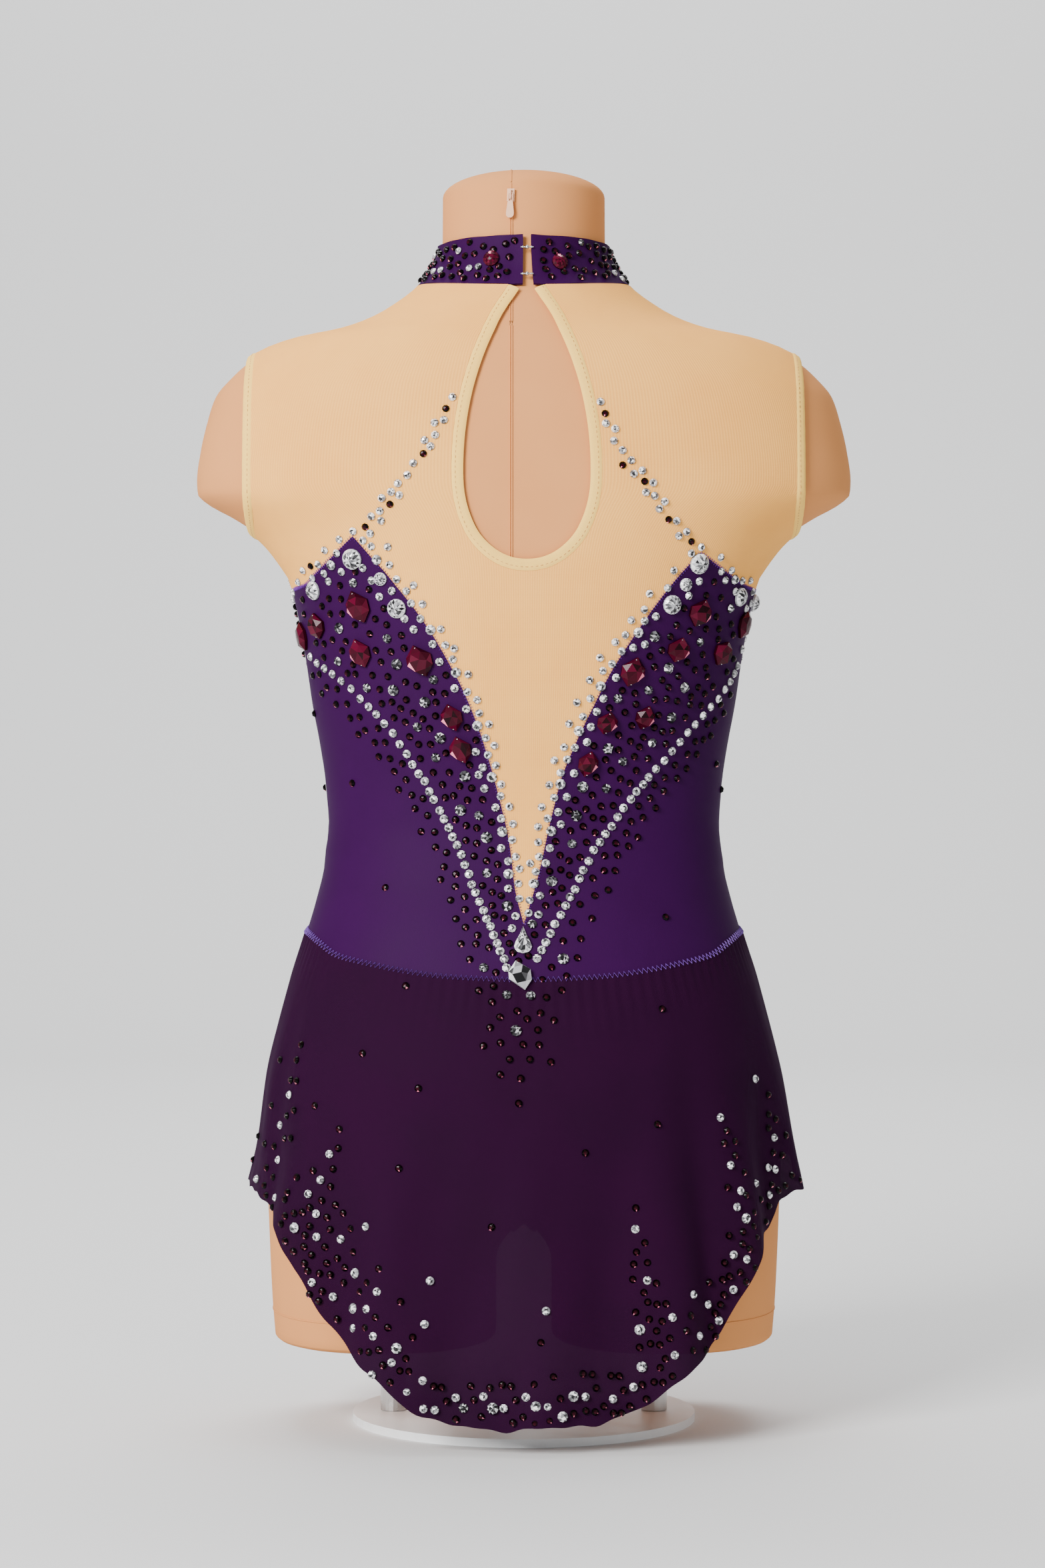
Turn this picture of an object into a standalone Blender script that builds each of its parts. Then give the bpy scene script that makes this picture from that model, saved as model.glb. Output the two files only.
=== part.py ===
"""Rhythmic gymnastics leotard with an attached skirt, worn by a limbless dress form.

Metres, Z up. The garment's back faces -Y, so the photographed side is seen looking along +Y.
A place on the body is given by its turn about Z (0 at the centre back, a quarter turn at the
side towards +X) and its height. Every cloth piece is cut out of the body's surface and lifted
off it, so neighbours share the points of their seam.
"""
import math

import bpy
import bmesh
from mathutils import Matrix, Vector
from mathutils.bvhtree import BVHTree
from mathutils.geometry import delaunay_2d_cdt

# Cloth
UNDER = 0.0015
WALL = 0.0012
SEAM = 0.0003
OUTER = UNDER + WALL
MESH_STEP = 0.0180
YOKE_STEP = 0.0155
SEAM_STEP = 0.0100

# Heights of the garment
COLLAR_TOP = 0.7190
COLLAR_BACK = 0.6870
COLLAR_SIDE_RISE = 0.0055
COLLAR_WALL = 0.0016
BODICE_SIDE = 0.5080
BODICE_FRONT_RISE = 0.0340
LEG_SIDE = 0.2150
LEG_CENTRE = 0.1650

# Openings
OPENING_X = 0.0018
SLIT_WIDTH = 0.0045
ARMHOLE_X = 0.1622
ARM_BAND = 0.0063
KEYHOLE_BAND = 0.0070
BAND_WALL = 0.0017

# Skirt
SKIRT_UNDER = OUTER + SEAM
SKIRT_WALL = 0.0010
SKIRT_COLUMNS = 30
SKIRT_ROWS = 9
SKIRT_BLEND = 0.030

# Form and stand
NECK_TOP = 0.7662
NECK_EDGE = 0.7500
SPLIT = LEG_CENTRE
CROTCH = 0.1280
THIGH_END = 0.0540
LEG_GAP = 0.0170
FORM_HALF_COLUMNS = 18
CROTCH_POINTS = 7
GUSSET_HALF_TURN = math.pi / FORM_HALF_COLUMNS
GUSSET_ROWS = 2
BASE_RADIUS = 0.1050
BASE_THICK = 0.0050
BASE_Y = 0.0
ROD_RADIUS = 0.0080
ROD_X = 0.0800

# Zip in the form's cover
ZIP_X = -0.0076
ZIP_Z = 0.7440
SLIDER_WIDTH = 0.0044
SLIDER_HEIGHT = 0.0080
SLIDER_THICK = 0.0016
BAR = 0.0008
PULL_LENGTH = 0.0160
PULL_THICK = 0.0008
PULL_AXIS = 0.0009
PULL_CLEAR = 0.0005
PULL_HOLE = 0.0046
PULL_OUTLINE = [
    # half width, height above the middle
    (0.0009, 0.0080), (0.0014, 0.0076), (0.0015, 0.0068), (0.0015, 0.0026), (0.0017, 0.0010), (0.0020, -0.0018),
    (0.0023, -0.0040), (0.0024, -0.0053), (0.0022, -0.0066), (0.0016, -0.0075), (0.0007, -0.0080),
]

# Half width of the figure, arm caps included
OUTLINE = [
    # height, half width
    (0.050, 0.1520), (0.076, 0.1540), (0.124, 0.1560), (0.158, 0.1570), (0.187, 0.1555), (0.214, 0.1515),
    (0.240, 0.1455), (0.269, 0.1385), (0.298, 0.1305), (0.317, 0.1250), (0.341, 0.1195), (0.365, 0.1175),
    (0.3895, 0.1190), (0.414, 0.1225), (0.438, 0.1270), (0.462, 0.1305), (0.486, 0.1345), (0.500, 0.1375),
    (0.515, 0.1415), (0.5245, 0.1475), (0.532, 0.1530), (0.539, 0.1590), (0.546, 0.1680), (0.5535, 0.1800),
    (0.5605, 0.1930), (0.567, 0.2000), (0.575, 0.2005), (0.594, 0.1980), (0.611, 0.1940), (0.626, 0.1890),
    (0.638, 0.1790), (0.645, 0.1715), (0.651, 0.1630), (0.655, 0.1545), (0.659, 0.1420), (0.664, 0.1170),
    (0.669, 0.1010), (0.675, 0.0880), (0.681, 0.0785), (0.690, 0.0665), (0.699, 0.0585), (0.708, 0.0530),
    (0.718, 0.0500), (0.750, 0.0499),
]
# Depth of the figure behind and before its side line, and how square its plan is
PROFILE = [
    # height, back, front, side line, squareness
    (0.050, 0.084, 0.082, 0.000, 2.3), (0.100, 0.092, 0.084, -0.002, 2.3), (0.130, 0.100, 0.086, -0.004, 2.3),
    (0.170, 0.107, 0.088, -0.005, 2.3), (0.200, 0.107, 0.089, -0.005, 2.3), (0.250, 0.099, 0.089, -0.004, 2.3),
    (0.300, 0.086, 0.086, -0.002, 2.3), (0.340, 0.075, 0.081, 0.001, 2.3), (0.365, 0.072, 0.080, 0.002, 2.3),
    (0.390, 0.073, 0.083, 0.002, 2.3), (0.420, 0.077, 0.090, 0.001, 2.3), (0.460, 0.083, 0.104, 0.000, 2.3),
    (0.500, 0.089, 0.113, 0.000, 2.3), (0.530, 0.091, 0.108, 0.000, 2.3), (0.567, 0.090, 0.097, -0.002, 2.2),
    (0.600, 0.087, 0.085, -0.003, 2.2), (0.637, 0.079, 0.072, -0.004, 2.1), (0.659, 0.0715, 0.064, -0.004, 2.0),
    (0.681, 0.062, 0.056, -0.002, 2.0), (0.700, 0.054, 0.052, 0.000, 2.0), (0.750, 0.049, 0.049, 0.006, 2.0),
]
# Right edge of the V, from its tip up to the bodice's peak
V_EDGE = [
    # x, height
    (0.0000, 0.3056), (0.0027, 0.3142), (0.0066, 0.3270), (0.0110, 0.3449), (0.0149, 0.3638), (0.0187, 0.3794),
    (0.0224, 0.3939), (0.0314, 0.4160), (0.0415, 0.4370), (0.0489, 0.4520), (0.0563, 0.4646), (0.0645, 0.4773),
    (0.0731, 0.4900), (0.0825, 0.5027), (0.0945, 0.5175), (0.1037, 0.5279),
]
# The same edge on the left, where the worn garment leans a little, with x to the left
V_EDGE_LEFT = [
    # x, height
    (0.0000, 0.3056), (0.0050, 0.3250), (0.0073, 0.3440), (0.0100, 0.3616), (0.0163, 0.3879), (0.0212, 0.4058),
    (0.0279, 0.4263), (0.0353, 0.4445), (0.0427, 0.4590), (0.0508, 0.4735), (0.0570, 0.4834), (0.0656, 0.4955),
    (0.0778, 0.5108), (0.0892, 0.5240), (0.1008, 0.5372),
]
# Bodice's top edge, from its peak to the side
PEAK_EDGE = [
    # x, height
    (0.1037, 0.5279), (0.1134, 0.5216), (0.1211, 0.5164), (0.1289, 0.5112), (0.1350, 0.5088),
]
PEAK_EDGE_LEFT = [
    # x, height
    (0.1008, 0.5372), (0.1079, 0.5307), (0.1155, 0.5238), (0.1232, 0.5169), (0.1310, 0.5099),
]
# Outer edge of the drop-shaped opening's binding
KEYHOLE = [
    # half width, height
    (0.0108, 0.6869), (0.0212, 0.6700), (0.0300, 0.6510), (0.0364, 0.6326), (0.0406, 0.6155),
    (0.0434, 0.5970), (0.0445, 0.5780), (0.0438, 0.5617), (0.0402, 0.5469), (0.0336, 0.5335),
    (0.0236, 0.5232), (0.0122, 0.5172), (0.0000, 0.5154),
]
# Waist seam, from the centre back round to the centre front
WAIST = [
    # turn in degrees, height
    (0, 0.2732), (11, 0.2741), (20, 0.2753), (30, 0.2782), (40, 0.2819), (52, 0.2864), (61, 0.2926),
    (74, 0.2981), (90, 0.3000), (120, 0.2950), (150, 0.2885), (180, 0.2865),
]
# Skirt's own size at each height
SKIRT = [
    # height, half width, back, front, side line
    (0.0000, 0.1840, 0.1340, 0.1180, -0.004), (0.0500, 0.1790, 0.1290, 0.1150, -0.004),
    (0.1000, 0.1735, 0.1230, 0.1110, -0.004), (0.1416, 0.1680, 0.1190, 0.1060, -0.005),
    (0.1690, 0.1625, 0.1165, 0.1020, -0.005), (0.2134, 0.1568, 0.1120, 0.0975, -0.005),
    (0.2450, 0.1495, 0.1055, 0.0965, -0.004), (0.2710, 0.1425, 0.0990, 0.0950, -0.003),
    (0.2953, 0.1360, 0.0930, 0.0920, -0.002), (0.3100, 0.1325, 0.0890, 0.0890, -0.001),
]
# Skirt's hem, all the way round
HEM = [
    # turn in degrees, height
    (-90, 0.1465), (-80, 0.1455), (-70, 0.1430), (-65, 0.1400), (-60, 0.1330), (-55, 0.1250), (-50, 0.1125),
    (-46, 0.1010), (-42, 0.0820), (-38, 0.0700), (-34, 0.0600), (-30, 0.0500), (-25, 0.0370), (-20, 0.0255),
    (-15, 0.0190), (-9, 0.0160), (-3, 0.0158), (3, 0.0168), (8, 0.0176), (14, 0.0190), (20, 0.0238), (25, 0.0350),
    (30, 0.0470), (35, 0.0550), (38, 0.0630), (41, 0.0790), (44, 0.0910), (48, 0.1060), (52, 0.1180), (57, 0.1270),
    (62, 0.1360), (68, 0.1430), (76, 0.1460), (90, 0.1470), (110, 0.1600), (140, 0.1680), (180, 0.1700), (220, 0.1680),
    (250, 0.1590), (270, 0.1465),
]
# Soft folds of the skirt
FOLDS = [
    # turn in degrees, width in degrees, height of the ridge at the hem
    (-62, 6, -0.0045), (-50, 7, 0.0050), (-36, 5, -0.0050), (-27, 7, 0.0045), (-12, 8, -0.0035), (3, 8, 0.0030),
    (17, 7, -0.0040), (29, 6, 0.0055), (37, 4, -0.0050), (46, 6, 0.0050), (60, 7, -0.0045), (74, 7, 0.0040),
    (108, 8, 0.0040), (128, 8, -0.0040), (150, 9, 0.0045), (176, 9, -0.0040), (200, 9, 0.0045), (226, 8, -0.0040),
    (248, 8, 0.0040),
]
# Large stones sewn on the bodice
STONES = [
    # name, cut, x, height, width, length, tilt in degrees, finish
    ("cosmic_left_a", "cosmic", -0.0972, 0.4956, 0.0165, 0.0205, 14, "garnet"),
    ("cosmic_left_b", "cosmic", -0.1219, 0.4854, 0.0150, 0.0160, 2, "garnet"),
    ("cosmic_left_c", "cosmic", -0.0960, 0.4682, 0.0150, 0.0180, 12, "garnet"),
    ("cosmic_left_d", "cosmic", -0.0610, 0.4631, 0.0165, 0.0200, 14, "garnet"),
    ("cosmic_left_e", "cosmic", -0.0424, 0.4296, 0.0135, 0.0170, 10, "garnet"),
    ("cosmic_left_f", "cosmic", -0.0373, 0.4105, 0.0135, 0.0170, 12, "garnet"),
    ("cosmic_right_a", "cosmic", 0.1035, 0.4921, 0.0165, 0.0175, -12, "garnet"),
    ("cosmic_right_b", "cosmic", 0.1170, 0.4687, 0.0165, 0.0165, -20, "garnet"),
    ("cosmic_right_c", "cosmic", 0.0907, 0.4700, 0.0155, 0.0155, -8, "garnet"),
    ("cosmic_right_d", "cosmic", 0.0638, 0.4566, 0.0155, 0.0185, -10, "garnet"),
    ("cosmic_right_e", "cosmic", 0.0490, 0.4263, 0.0130, 0.0140, -10, "garnet"),
    ("cosmic_right_f", "cosmic", 0.0711, 0.4297, 0.0125, 0.0150, -12, "garnet"),
    ("cosmic_right_g", "cosmic", 0.0378, 0.4021, 0.0125, 0.0160, -8, "garnet"),
    ("round_left_a", "round", -0.1008, 0.5240, 0.0125, 0.0125, 0, "crystal"),
    ("round_left_b", "round", -0.1241, 0.5065, 0.0115, 0.0115, 0, "crystal"),
    ("round_left_c", "round", -0.0744, 0.4940, 0.0115, 0.0115, 0, "crystal"),
    ("round_left_d", "round", -0.0840, 0.5115, 0.0080, 0.0080, 0, "crystal"),
    ("round_right_a", "round", 0.1030, 0.5215, 0.0125, 0.0125, 0, "crystal"),
    ("round_right_b", "round", 0.0868, 0.4965, 0.0115, 0.0115, 0, "crystal"),
    ("round_right_c", "round", 0.1280, 0.5030, 0.0115, 0.0115, 0, "crystal"),
    ("round_right_d", "round", 0.0950, 0.5085, 0.0080, 0.0080, 0, "crystal"),
    ("cosmic_left_side", "cosmic", -0.1310, 0.4800, 0.0140, 0.0180, 8, "garnet"),
    ("cosmic_right_side", "cosmic", 0.1300, 0.4870, 0.0140, 0.0180, -8, "garnet"),
    ("round_right_side", "round", 0.1372, 0.5010, 0.0110, 0.0110, 0, "crystal"),
    ("pear", "pear", -0.0005, 0.2965, 0.0105, 0.0165, 0, "crystal"),
    ("cosmic_waist", "cosmic", -0.0023, 0.2755, 0.0140, 0.0185, 10, "crystal"),
    ("round_collar_left", "round", -0.0185, 0.7040, 0.0100, 0.0100, 0, "garnet"),
    ("round_collar_right", "round", 0.0205, 0.7020, 0.0100, 0.0100, 0, "garnet"),
]
STONE_HEIGHT = 0.0040
STONE_LIFT = 0.0004
# Size and rise of each ring of a stone, as shares of its own
STONE_RINGS = [(0.94, 0.0), (1.0, 0.35), (0.52, 1.0)]
# Outline of each cut, as shares of half its width and length
CUTS = {
    "cosmic": [(-0.20, 1.0), (0.25, 0.90), (1.0, 0.30), (0.92, -0.42), (0.20, -1.0), (-0.25, -0.90),
               (-1.0, -0.30), (-0.85, 0.42)],
    "pear": [(0.0, 1.0), (0.36, 0.42), (0.82, -0.12), (1.0, -0.48), (0.68, -0.86), (0.0, -1.0),
             (-0.68, -0.86), (-1.0, -0.48), (-0.82, -0.12), (-0.36, 0.42)],
    "round": [(math.cos(math.tau * i / 10), math.sin(math.tau * i / 10)) for i in range(10)],
}
# Finish of each material
FINISHES = {
    # name: colour, metallic, roughness
    "knit": ((0.076, 0.014, 0.156), 0.0, 0.55),
    "nude_mesh": ((0.87, 0.62, 0.38), 0.0, 0.85),
    "nude_elastic": ((0.90, 0.66, 0.36), 0.0, 0.70),
    "skirt_mesh": ((0.045, 0.010, 0.052), 0.0, 0.70),
    "form_cover": ((0.68, 0.40, 0.24), 0.0, 0.80),
    "garnet": ((0.060, 0.002, 0.010), 0.3, 0.10),
    "crystal": ((0.75, 0.77, 0.80), 0.7, 0.08),
    "steel": ((0.60, 0.60, 0.62), 1.0, 0.25),
    "nude_paint": ((0.72, 0.45, 0.30), 0.0, 0.45),
    "white_paint": ((0.82, 0.82, 0.82), 0.0, 0.45),
}


def clear_scene():
    for item in list(bpy.data.objects):
        bpy.data.objects.remove(item, do_unlink=True)


def finish(name):
    """The material of that name, made on first use."""
    made = bpy.data.materials.get(name)
    if made:
        return made
    colour, metallic, roughness = FINISHES[name]
    made = bpy.data.materials.new(name)
    made.use_nodes = True
    shader = made.node_tree.nodes["Principled BSDF"]
    shader.inputs["Base Color"].default_value = (*colour, 1.0)
    shader.inputs["Metallic"].default_value = metallic
    shader.inputs["Roughness"].default_value = roughness
    return made


class Curve:
    """Smooth columns through a table's rows, with no overshoot between rows."""

    def __init__(self, rows):
        self.heights = [row[0] for row in rows]
        self.columns = [[row[k] for row in rows] for k in range(1, len(rows[0]))]
        self.slopes = [self.find_slopes(column) for column in self.columns]

    def find_slopes(self, column):
        steps = [b - a for a, b in zip(self.heights, self.heights[1:])]
        rates = [(b - a) / h for a, b, h in zip(column, column[1:], steps)]
        slopes = [rates[0]]
        for i in range(1, len(rates)):
            if rates[i - 1] * rates[i] <= 0:
                slopes.append(0.0)
                continue
            w0 = 2 * steps[i] + steps[i - 1]
            w1 = steps[i] + 2 * steps[i - 1]
            slopes.append((w0 + w1) / (w0 / rates[i - 1] + w1 / rates[i]))
        slopes.append(rates[-1])
        return slopes

    def at(self, height):
        height = min(max(height, self.heights[0]), self.heights[-1])
        i = 0
        while i < len(self.heights) - 2 and height > self.heights[i + 1]:
            i += 1
        step = self.heights[i + 1] - self.heights[i]
        t = (height - self.heights[i]) / step
        a = 2 * t**3 - 3 * t**2 + 1
        b = (t**3 - 2 * t**2 + t) * step
        c = 3 * t**2 - 2 * t**3
        d = (t**3 - t**2) * step
        return [a * v[i] + b * m[i] + c * v[i + 1] + d * m[i + 1] for v, m in zip(self.columns, self.slopes)]


outline = Curve(OUTLINE)
profile = Curve(PROFILE)
skirt_size = Curve(SKIRT)
waist_rows = Curve(WAIST)
hem_rows = Curve(HEM)


def smooth(t):
    t = min(max(t, 0.0), 1.0)
    return t * t * (3 - 2 * t)


def ring_point(turn, height, half, back, front, side_y, squareness):
    """A point of a rounded plan that is squarer than an ellipse."""
    s = math.sin(turn)
    c = math.cos(turn)
    k = (abs(s) ** squareness + abs(c) ** squareness) ** (-1 / squareness)
    depth = back if c > 0 else front
    return Vector((k * half * s, side_y - k * depth * c, height))


def skin(turn, height):
    (half,) = outline.at(height)
    back, front, side_y, squareness = profile.at(height)
    return ring_point(turn, height, half, back, front, side_y, squareness)


def slants(turn, height, surface=skin):
    """How the surface's point moves with the turn and with the height."""
    t = 0.0005
    h = 0.00005
    by_turn = (surface(turn + t, height) - surface(turn - t, height)) / (2 * t)
    by_height = (surface(turn, height + h) - surface(turn, height - h)) / (2 * h)
    return by_turn, by_height


def lifted(turn, height, lift, surface=skin):
    by_turn, by_height = slants(turn, height, surface)
    return surface(turn, height) + by_turn.cross(by_height).normalized() * lift


def turn_at(x, height):
    """Turn of the back's point at that x, negative for a negative x."""
    low = 0.0
    high = math.pi / 2
    for _ in range(40):
        middle = (low + high) / 2
        if skin(middle, height).x < abs(x):
            low = middle
        else:
            high = middle
    return math.copysign((low + high) / 2, x)


def waist(turn):
    return waist_rows.at(abs(math.degrees(math.remainder(turn, math.tau))))[0]


def hem(turn):
    degrees = math.degrees(turn)
    if degrees > 270:
        degrees -= 360
    if degrees < -90:
        degrees += 360
    return hem_rows.at(degrees)[0]


def collar_base(turn):
    return COLLAR_BACK + COLLAR_SIDE_RISE * math.sin(turn) ** 2


def leg_line(turn):
    """Leg opening's height, level across the gusset's width."""
    across = abs(math.sin(turn))
    narrow = math.sin(GUSSET_HALF_TURN)
    return LEG_CENTRE + (LEG_SIDE - LEG_CENTRE) * smooth((across - narrow) / (1 - narrow))


def curved(points):
    """A dense smooth line through the points."""
    dense = []
    last = len(points) - 1
    for i in range(last):
        p0 = points[max(i - 1, 0)]
        p1 = points[i]
        p2 = points[i + 1]
        p3 = points[min(i + 2, last)]
        for j in range(12):
            t = j / 12
            dense.append(tuple(
                0.5 * (2 * b + (c - a) * t + (2 * a - 5 * b + 4 * c - d) * t**2 + (3 * b - a - 3 * c + d) * t**3)
                for a, b, c, d in zip(p0, p1, p2, p3)))
    dense.append(tuple(points[-1]))
    return dense


def through(points, step):
    """Places along a smooth line through the given turns and heights, evenly spaced on the skin."""
    return evenly(curved(points), step)


def evenly(dense, step):
    spots = [skin(*p) for p in dense]
    reach = [0.0]
    for a, b in zip(spots, spots[1:]):
        reach.append(reach[-1] + (b - a).length)
    count = max(1, round(reach[-1] / step))
    placed = []
    i = 0
    for k in range(count + 1):
        goal = reach[-1] * k / count
        while i < len(reach) - 2 and reach[i + 1] < goal:
            i += 1
        share = (goal - reach[i]) / max(reach[i + 1] - reach[i], 1e-12)
        placed.append(tuple(a + (b - a) * share for a, b in zip(dense[i], dense[i + 1])))
    return placed


def mirrored(line):
    return [(-turn, height) for turn, height in line]


def other_half(line):
    """The same line on the front, where the turn runs on from a quarter to three quarters."""
    return [(math.pi - turn, height) for turn, height in line]


def inset(line, distance, closed=True):
    """Move a line to its left by that distance, along the skin."""
    count = len(line)
    spots = [skin(*p) for p in line]
    moved = []
    for i, place in enumerate(line):
        by_turn, by_height = slants(*place)
        normal = by_turn.cross(by_height).normalized()
        sides = []
        for j, k in ((i - 1, i), (i, i + 1)):
            if not closed and (j < 0 or k >= count):
                continue
            along = spots[k % count] - spots[j % count]
            sides.append(normal.cross(along).normalized())
        if len(sides) == 2:
            way = (sides[0] + sides[1]) / max(1 + sides[0].dot(sides[1]), 0.06)
        else:
            way = sides[0]
        moved.append(step_along(place, way * distance, by_turn, by_height))
    return moved


def step_along(place, move, by_turn, by_height):
    tt = by_turn.dot(by_turn)
    th = by_turn.dot(by_height)
    hh = by_height.dot(by_height)
    mt = move.dot(by_turn)
    mh = move.dot(by_height)
    det = tt * hh - th * th
    return (place[0] + (mt * hh - mh * th) / det, place[1] + (mh * tt - mt * th) / det)


def add_solid(name, material, points, faces):
    """One closed object from points and faces, with its faces turned outwards."""
    data = bpy.data.meshes.new(name)
    data.from_pydata([tuple(p) for p in points], [], faces)
    work = bmesh.new()
    work.from_mesh(data)
    bmesh.ops.triangulate(work, faces=[face for face in work.faces if len(face.verts) == 4],
                          quad_method="SHORT_EDGE")
    bmesh.ops.recalc_face_normals(work, faces=work.faces)
    if work.calc_volume(signed=True) < 0:
        bmesh.ops.reverse_faces(work, faces=work.faces)
    work.to_mesh(data)
    work.free()
    made = bpy.data.objects.new(name, data)
    data.materials.append(finish(material))
    bpy.context.scene.collection.objects.link(made)
    return made


def add_wall(name, material, inner, outer, faces):
    """A wall between two layers of points that share one set of faces."""
    count = len(inner)
    edges = {}
    for face in faces:
        for a, b in zip(face, face[1:] + face[:1]):
            edges[(a, b)] = edges.get((a, b), 0) + 1
    rim = [pair for pair in edges if (pair[1], pair[0]) not in edges]
    walls = [tuple(i + count for i in face) for face in faces]
    walls += [tuple(reversed(face)) for face in faces]
    walls += [(a, b, b + count, a + count) for a, b in rim]
    return add_solid(name, material, list(inner) + list(outer), walls)


def height_lengths():
    """Length down the figure at each millimetre of height, slopes of the outline counted in part."""
    lengths = [0.0]
    heights = [0.05]
    while heights[-1] < NECK_EDGE:
        h = heights[-1]
        slope = (outline.at(h + 0.001)[0] - outline.at(h)[0]) / 0.001
        lengths.append(lengths[-1] + 0.001 * math.sqrt(1 + 0.45 * slope * slope))
        heights.append(h + 0.001)
    return heights, lengths


PLAN_HEIGHTS, PLAN_LENGTHS = height_lengths()


def look_up(value, keys, values):
    low = 0
    high = len(keys) - 1
    while high - low > 1:
        middle = (low + high) // 2
        if keys[middle] <= value:
            low = middle
        else:
            high = middle
    share = (value - keys[low]) / (keys[high] - keys[low])
    return values[low] + (values[high] - values[low]) * share


def flat_place(turn, height, centre):
    """Place on a flat plan in which lengths are near to those on the skin."""
    back, front, _, _ = profile.at(height)
    radius = (outline.at(height)[0] + (back + front) / 2) / 2
    return Vector(((turn - centre) * radius, look_up(height, PLAN_HEIGHTS, PLAN_LENGTHS)))


def skin_place(spot, centre):
    height = look_up(spot[1], PLAN_LENGTHS, PLAN_HEIGHTS)
    back, front, _, _ = profile.at(height)
    radius = (outline.at(height)[0] + (back + front) / 2) / 2
    return (centre + spot[0] / radius, height)


def inside(spot, border):
    hit = False
    for a, b in zip(border, border[1:] + border[:1]):
        if (a[1] > spot[1]) != (b[1] > spot[1]):
            if spot[0] < a[0] + (b[0] - a[0]) * (spot[1] - a[1]) / (b[1] - a[1]):
                hit = not hit
    return hit


def clearance(spot, border):
    nearest = 1.0
    for a, b in zip(border, border[1:] + border[:1]):
        along = b - a
        share = min(max((spot - a).dot(along) / max(along.length_squared, 1e-14), 0.0), 1.0)
        nearest = min(nearest, (spot - a - along * share).length)
    return nearest


def add_panel(name, material, border, centre=0.0, low=UNDER, high=OUTER, step=MESH_STEP):
    """A cut piece inside a border that runs anticlockwise seen from outside."""
    border = inset(border, SEAM / 2)
    flat = [flat_place(*p, centre) for p in border]
    left = min(p.x for p in flat)
    right = max(p.x for p in flat)
    top = max(p.y for p in flat)
    v = min(p.y for p in flat)
    fill = []
    row = 0
    while v < top:
        u = left + (step / 2 if row % 2 else 0.0)
        while u < right:
            spot = Vector((u, v))
            if inside(spot, flat) and clearance(spot, flat) > step * 0.5:
                fill.append(spot)
            u += step
        v += step * 0.87
        row += 1
    count = len(flat)
    rim = [(i, (i + 1) % count) for i in range(count)]
    spots, _, faces, _, _, _ = delaunay_2d_cdt(flat + fill, rim, [], 0, 1e-8)
    kept = []
    for face in faces:
        middle = sum((spots[i] for i in face), Vector((0.0, 0.0))) / len(face)
        if inside(middle, flat):
            kept.append(tuple(face))
    places = border + [skin_place(spot, centre) for spot in spots[count:]]
    inner = [lifted(*p, low) for p in places]
    outer = [lifted(*p, high) for p in places]
    return add_wall(name, material, inner, outer, kept)


def add_band(name, material, line, width, closed, low=UNDER, high=UNDER + BAND_WALL):
    """A narrow band on the left of a line."""
    rows = [inset(line, SEAM / 2, closed)]
    for _ in range(3):
        rows.append(inset(rows[-1], width / 3, closed))
    rows = [rows[0], rows[3]]
    count = len(line)
    places = [p for row in rows for p in row]
    faces = []
    for r in range(len(rows) - 1):
        for i in range(count if closed else count - 1):
            j = (i + 1) % count
            faces.append((r * count + i, r * count + j, (r + 1) * count + j, (r + 1) * count + i))
    inner = [lifted(*p, low) for p in places]
    outer = [lifted(*p, high) for p in places]
    return add_wall(name, material, inner, outer, faces)


def armhole_line():
    """Back half of the right armhole, from the underarm up to the shoulder."""
    low = level_of_width(0.500, 0.567)
    high = level_of_width(0.640, 0.660)
    dense = []
    for i in range(61):
        height = low + (high - low) * (1 - math.cos(math.pi * i / 60)) / 2
        dense.append((turn_at(ARMHOLE_X, height) if 0 < i < 60 else math.pi / 2, height))
    return evenly(dense, SEAM_STEP)


def level_of_width(low, high):
    """Height between the two given ones where the figure is as wide as the armholes are apart."""
    rising = outline.at(high)[0] > outline.at(low)[0]
    for _ in range(40):
        middle = (low + high) / 2
        if (outline.at(middle)[0] < ARMHOLE_X) == rising:
            low = middle
        else:
            high = middle
    return (low + high) / 2


def on_back(rows, shift=0.0):
    return [(turn_at(x + shift, height), height) for x, height in rows]


def upright(low, high, turn=math.pi / 2):
    dense = [(turn, low + (high - low) * i / 40) for i in range(41)]
    return evenly(dense, SEAM_STEP)


def level_line(height_of, start, end):
    dense = [(start + (end - start) * i / 90, height_of(start + (end - start) * i / 90)) for i in range(91)]
    return evenly(dense, SEAM_STEP)


def joined(*lines):
    """One border from lines that each start where the last one ends."""
    border = []
    for line in lines:
        border += line[:-1]
    return border


def back_lines():
    """Seam lines of the garment's right back, and of the left where it differs."""
    side_end = (math.pi / 2, BODICE_SIDE)
    arm = armhole_line()
    return {
        "v": through(on_back(V_EDGE), SEAM_STEP),
        "peak": through(on_back(PEAK_EDGE) + [side_end], SEAM_STEP),
        "v_left": mirrored(through(on_back(V_EDGE_LEFT), SEAM_STEP)),
        "peak_left": mirrored(through(on_back(PEAK_EDGE_LEFT) + [side_end], SEAM_STEP)),
        "side": upright(BODICE_SIDE, arm[0][1]),
        "arm": arm,
        "shoulder": upright(arm[-1][1], collar_base(math.pi / 2)),
        "bodice_side": upright(waist(math.pi / 2), BODICE_SIDE),
        "brief_side": upright(leg_line(math.pi / 2), waist(math.pi / 2)),
    }


def keyhole_line():
    left = [(-w, h) for w, h in KEYHOLE[-2::-1]]
    line = evenly(on_back(curved([*KEYHOLE, *left]), OPENING_X), SEAM_STEP)
    line[0] = (line[0][0], collar_base(line[0][0]))
    line[-1] = (line[-1][0], collar_base(line[-1][0]))
    return line


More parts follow.
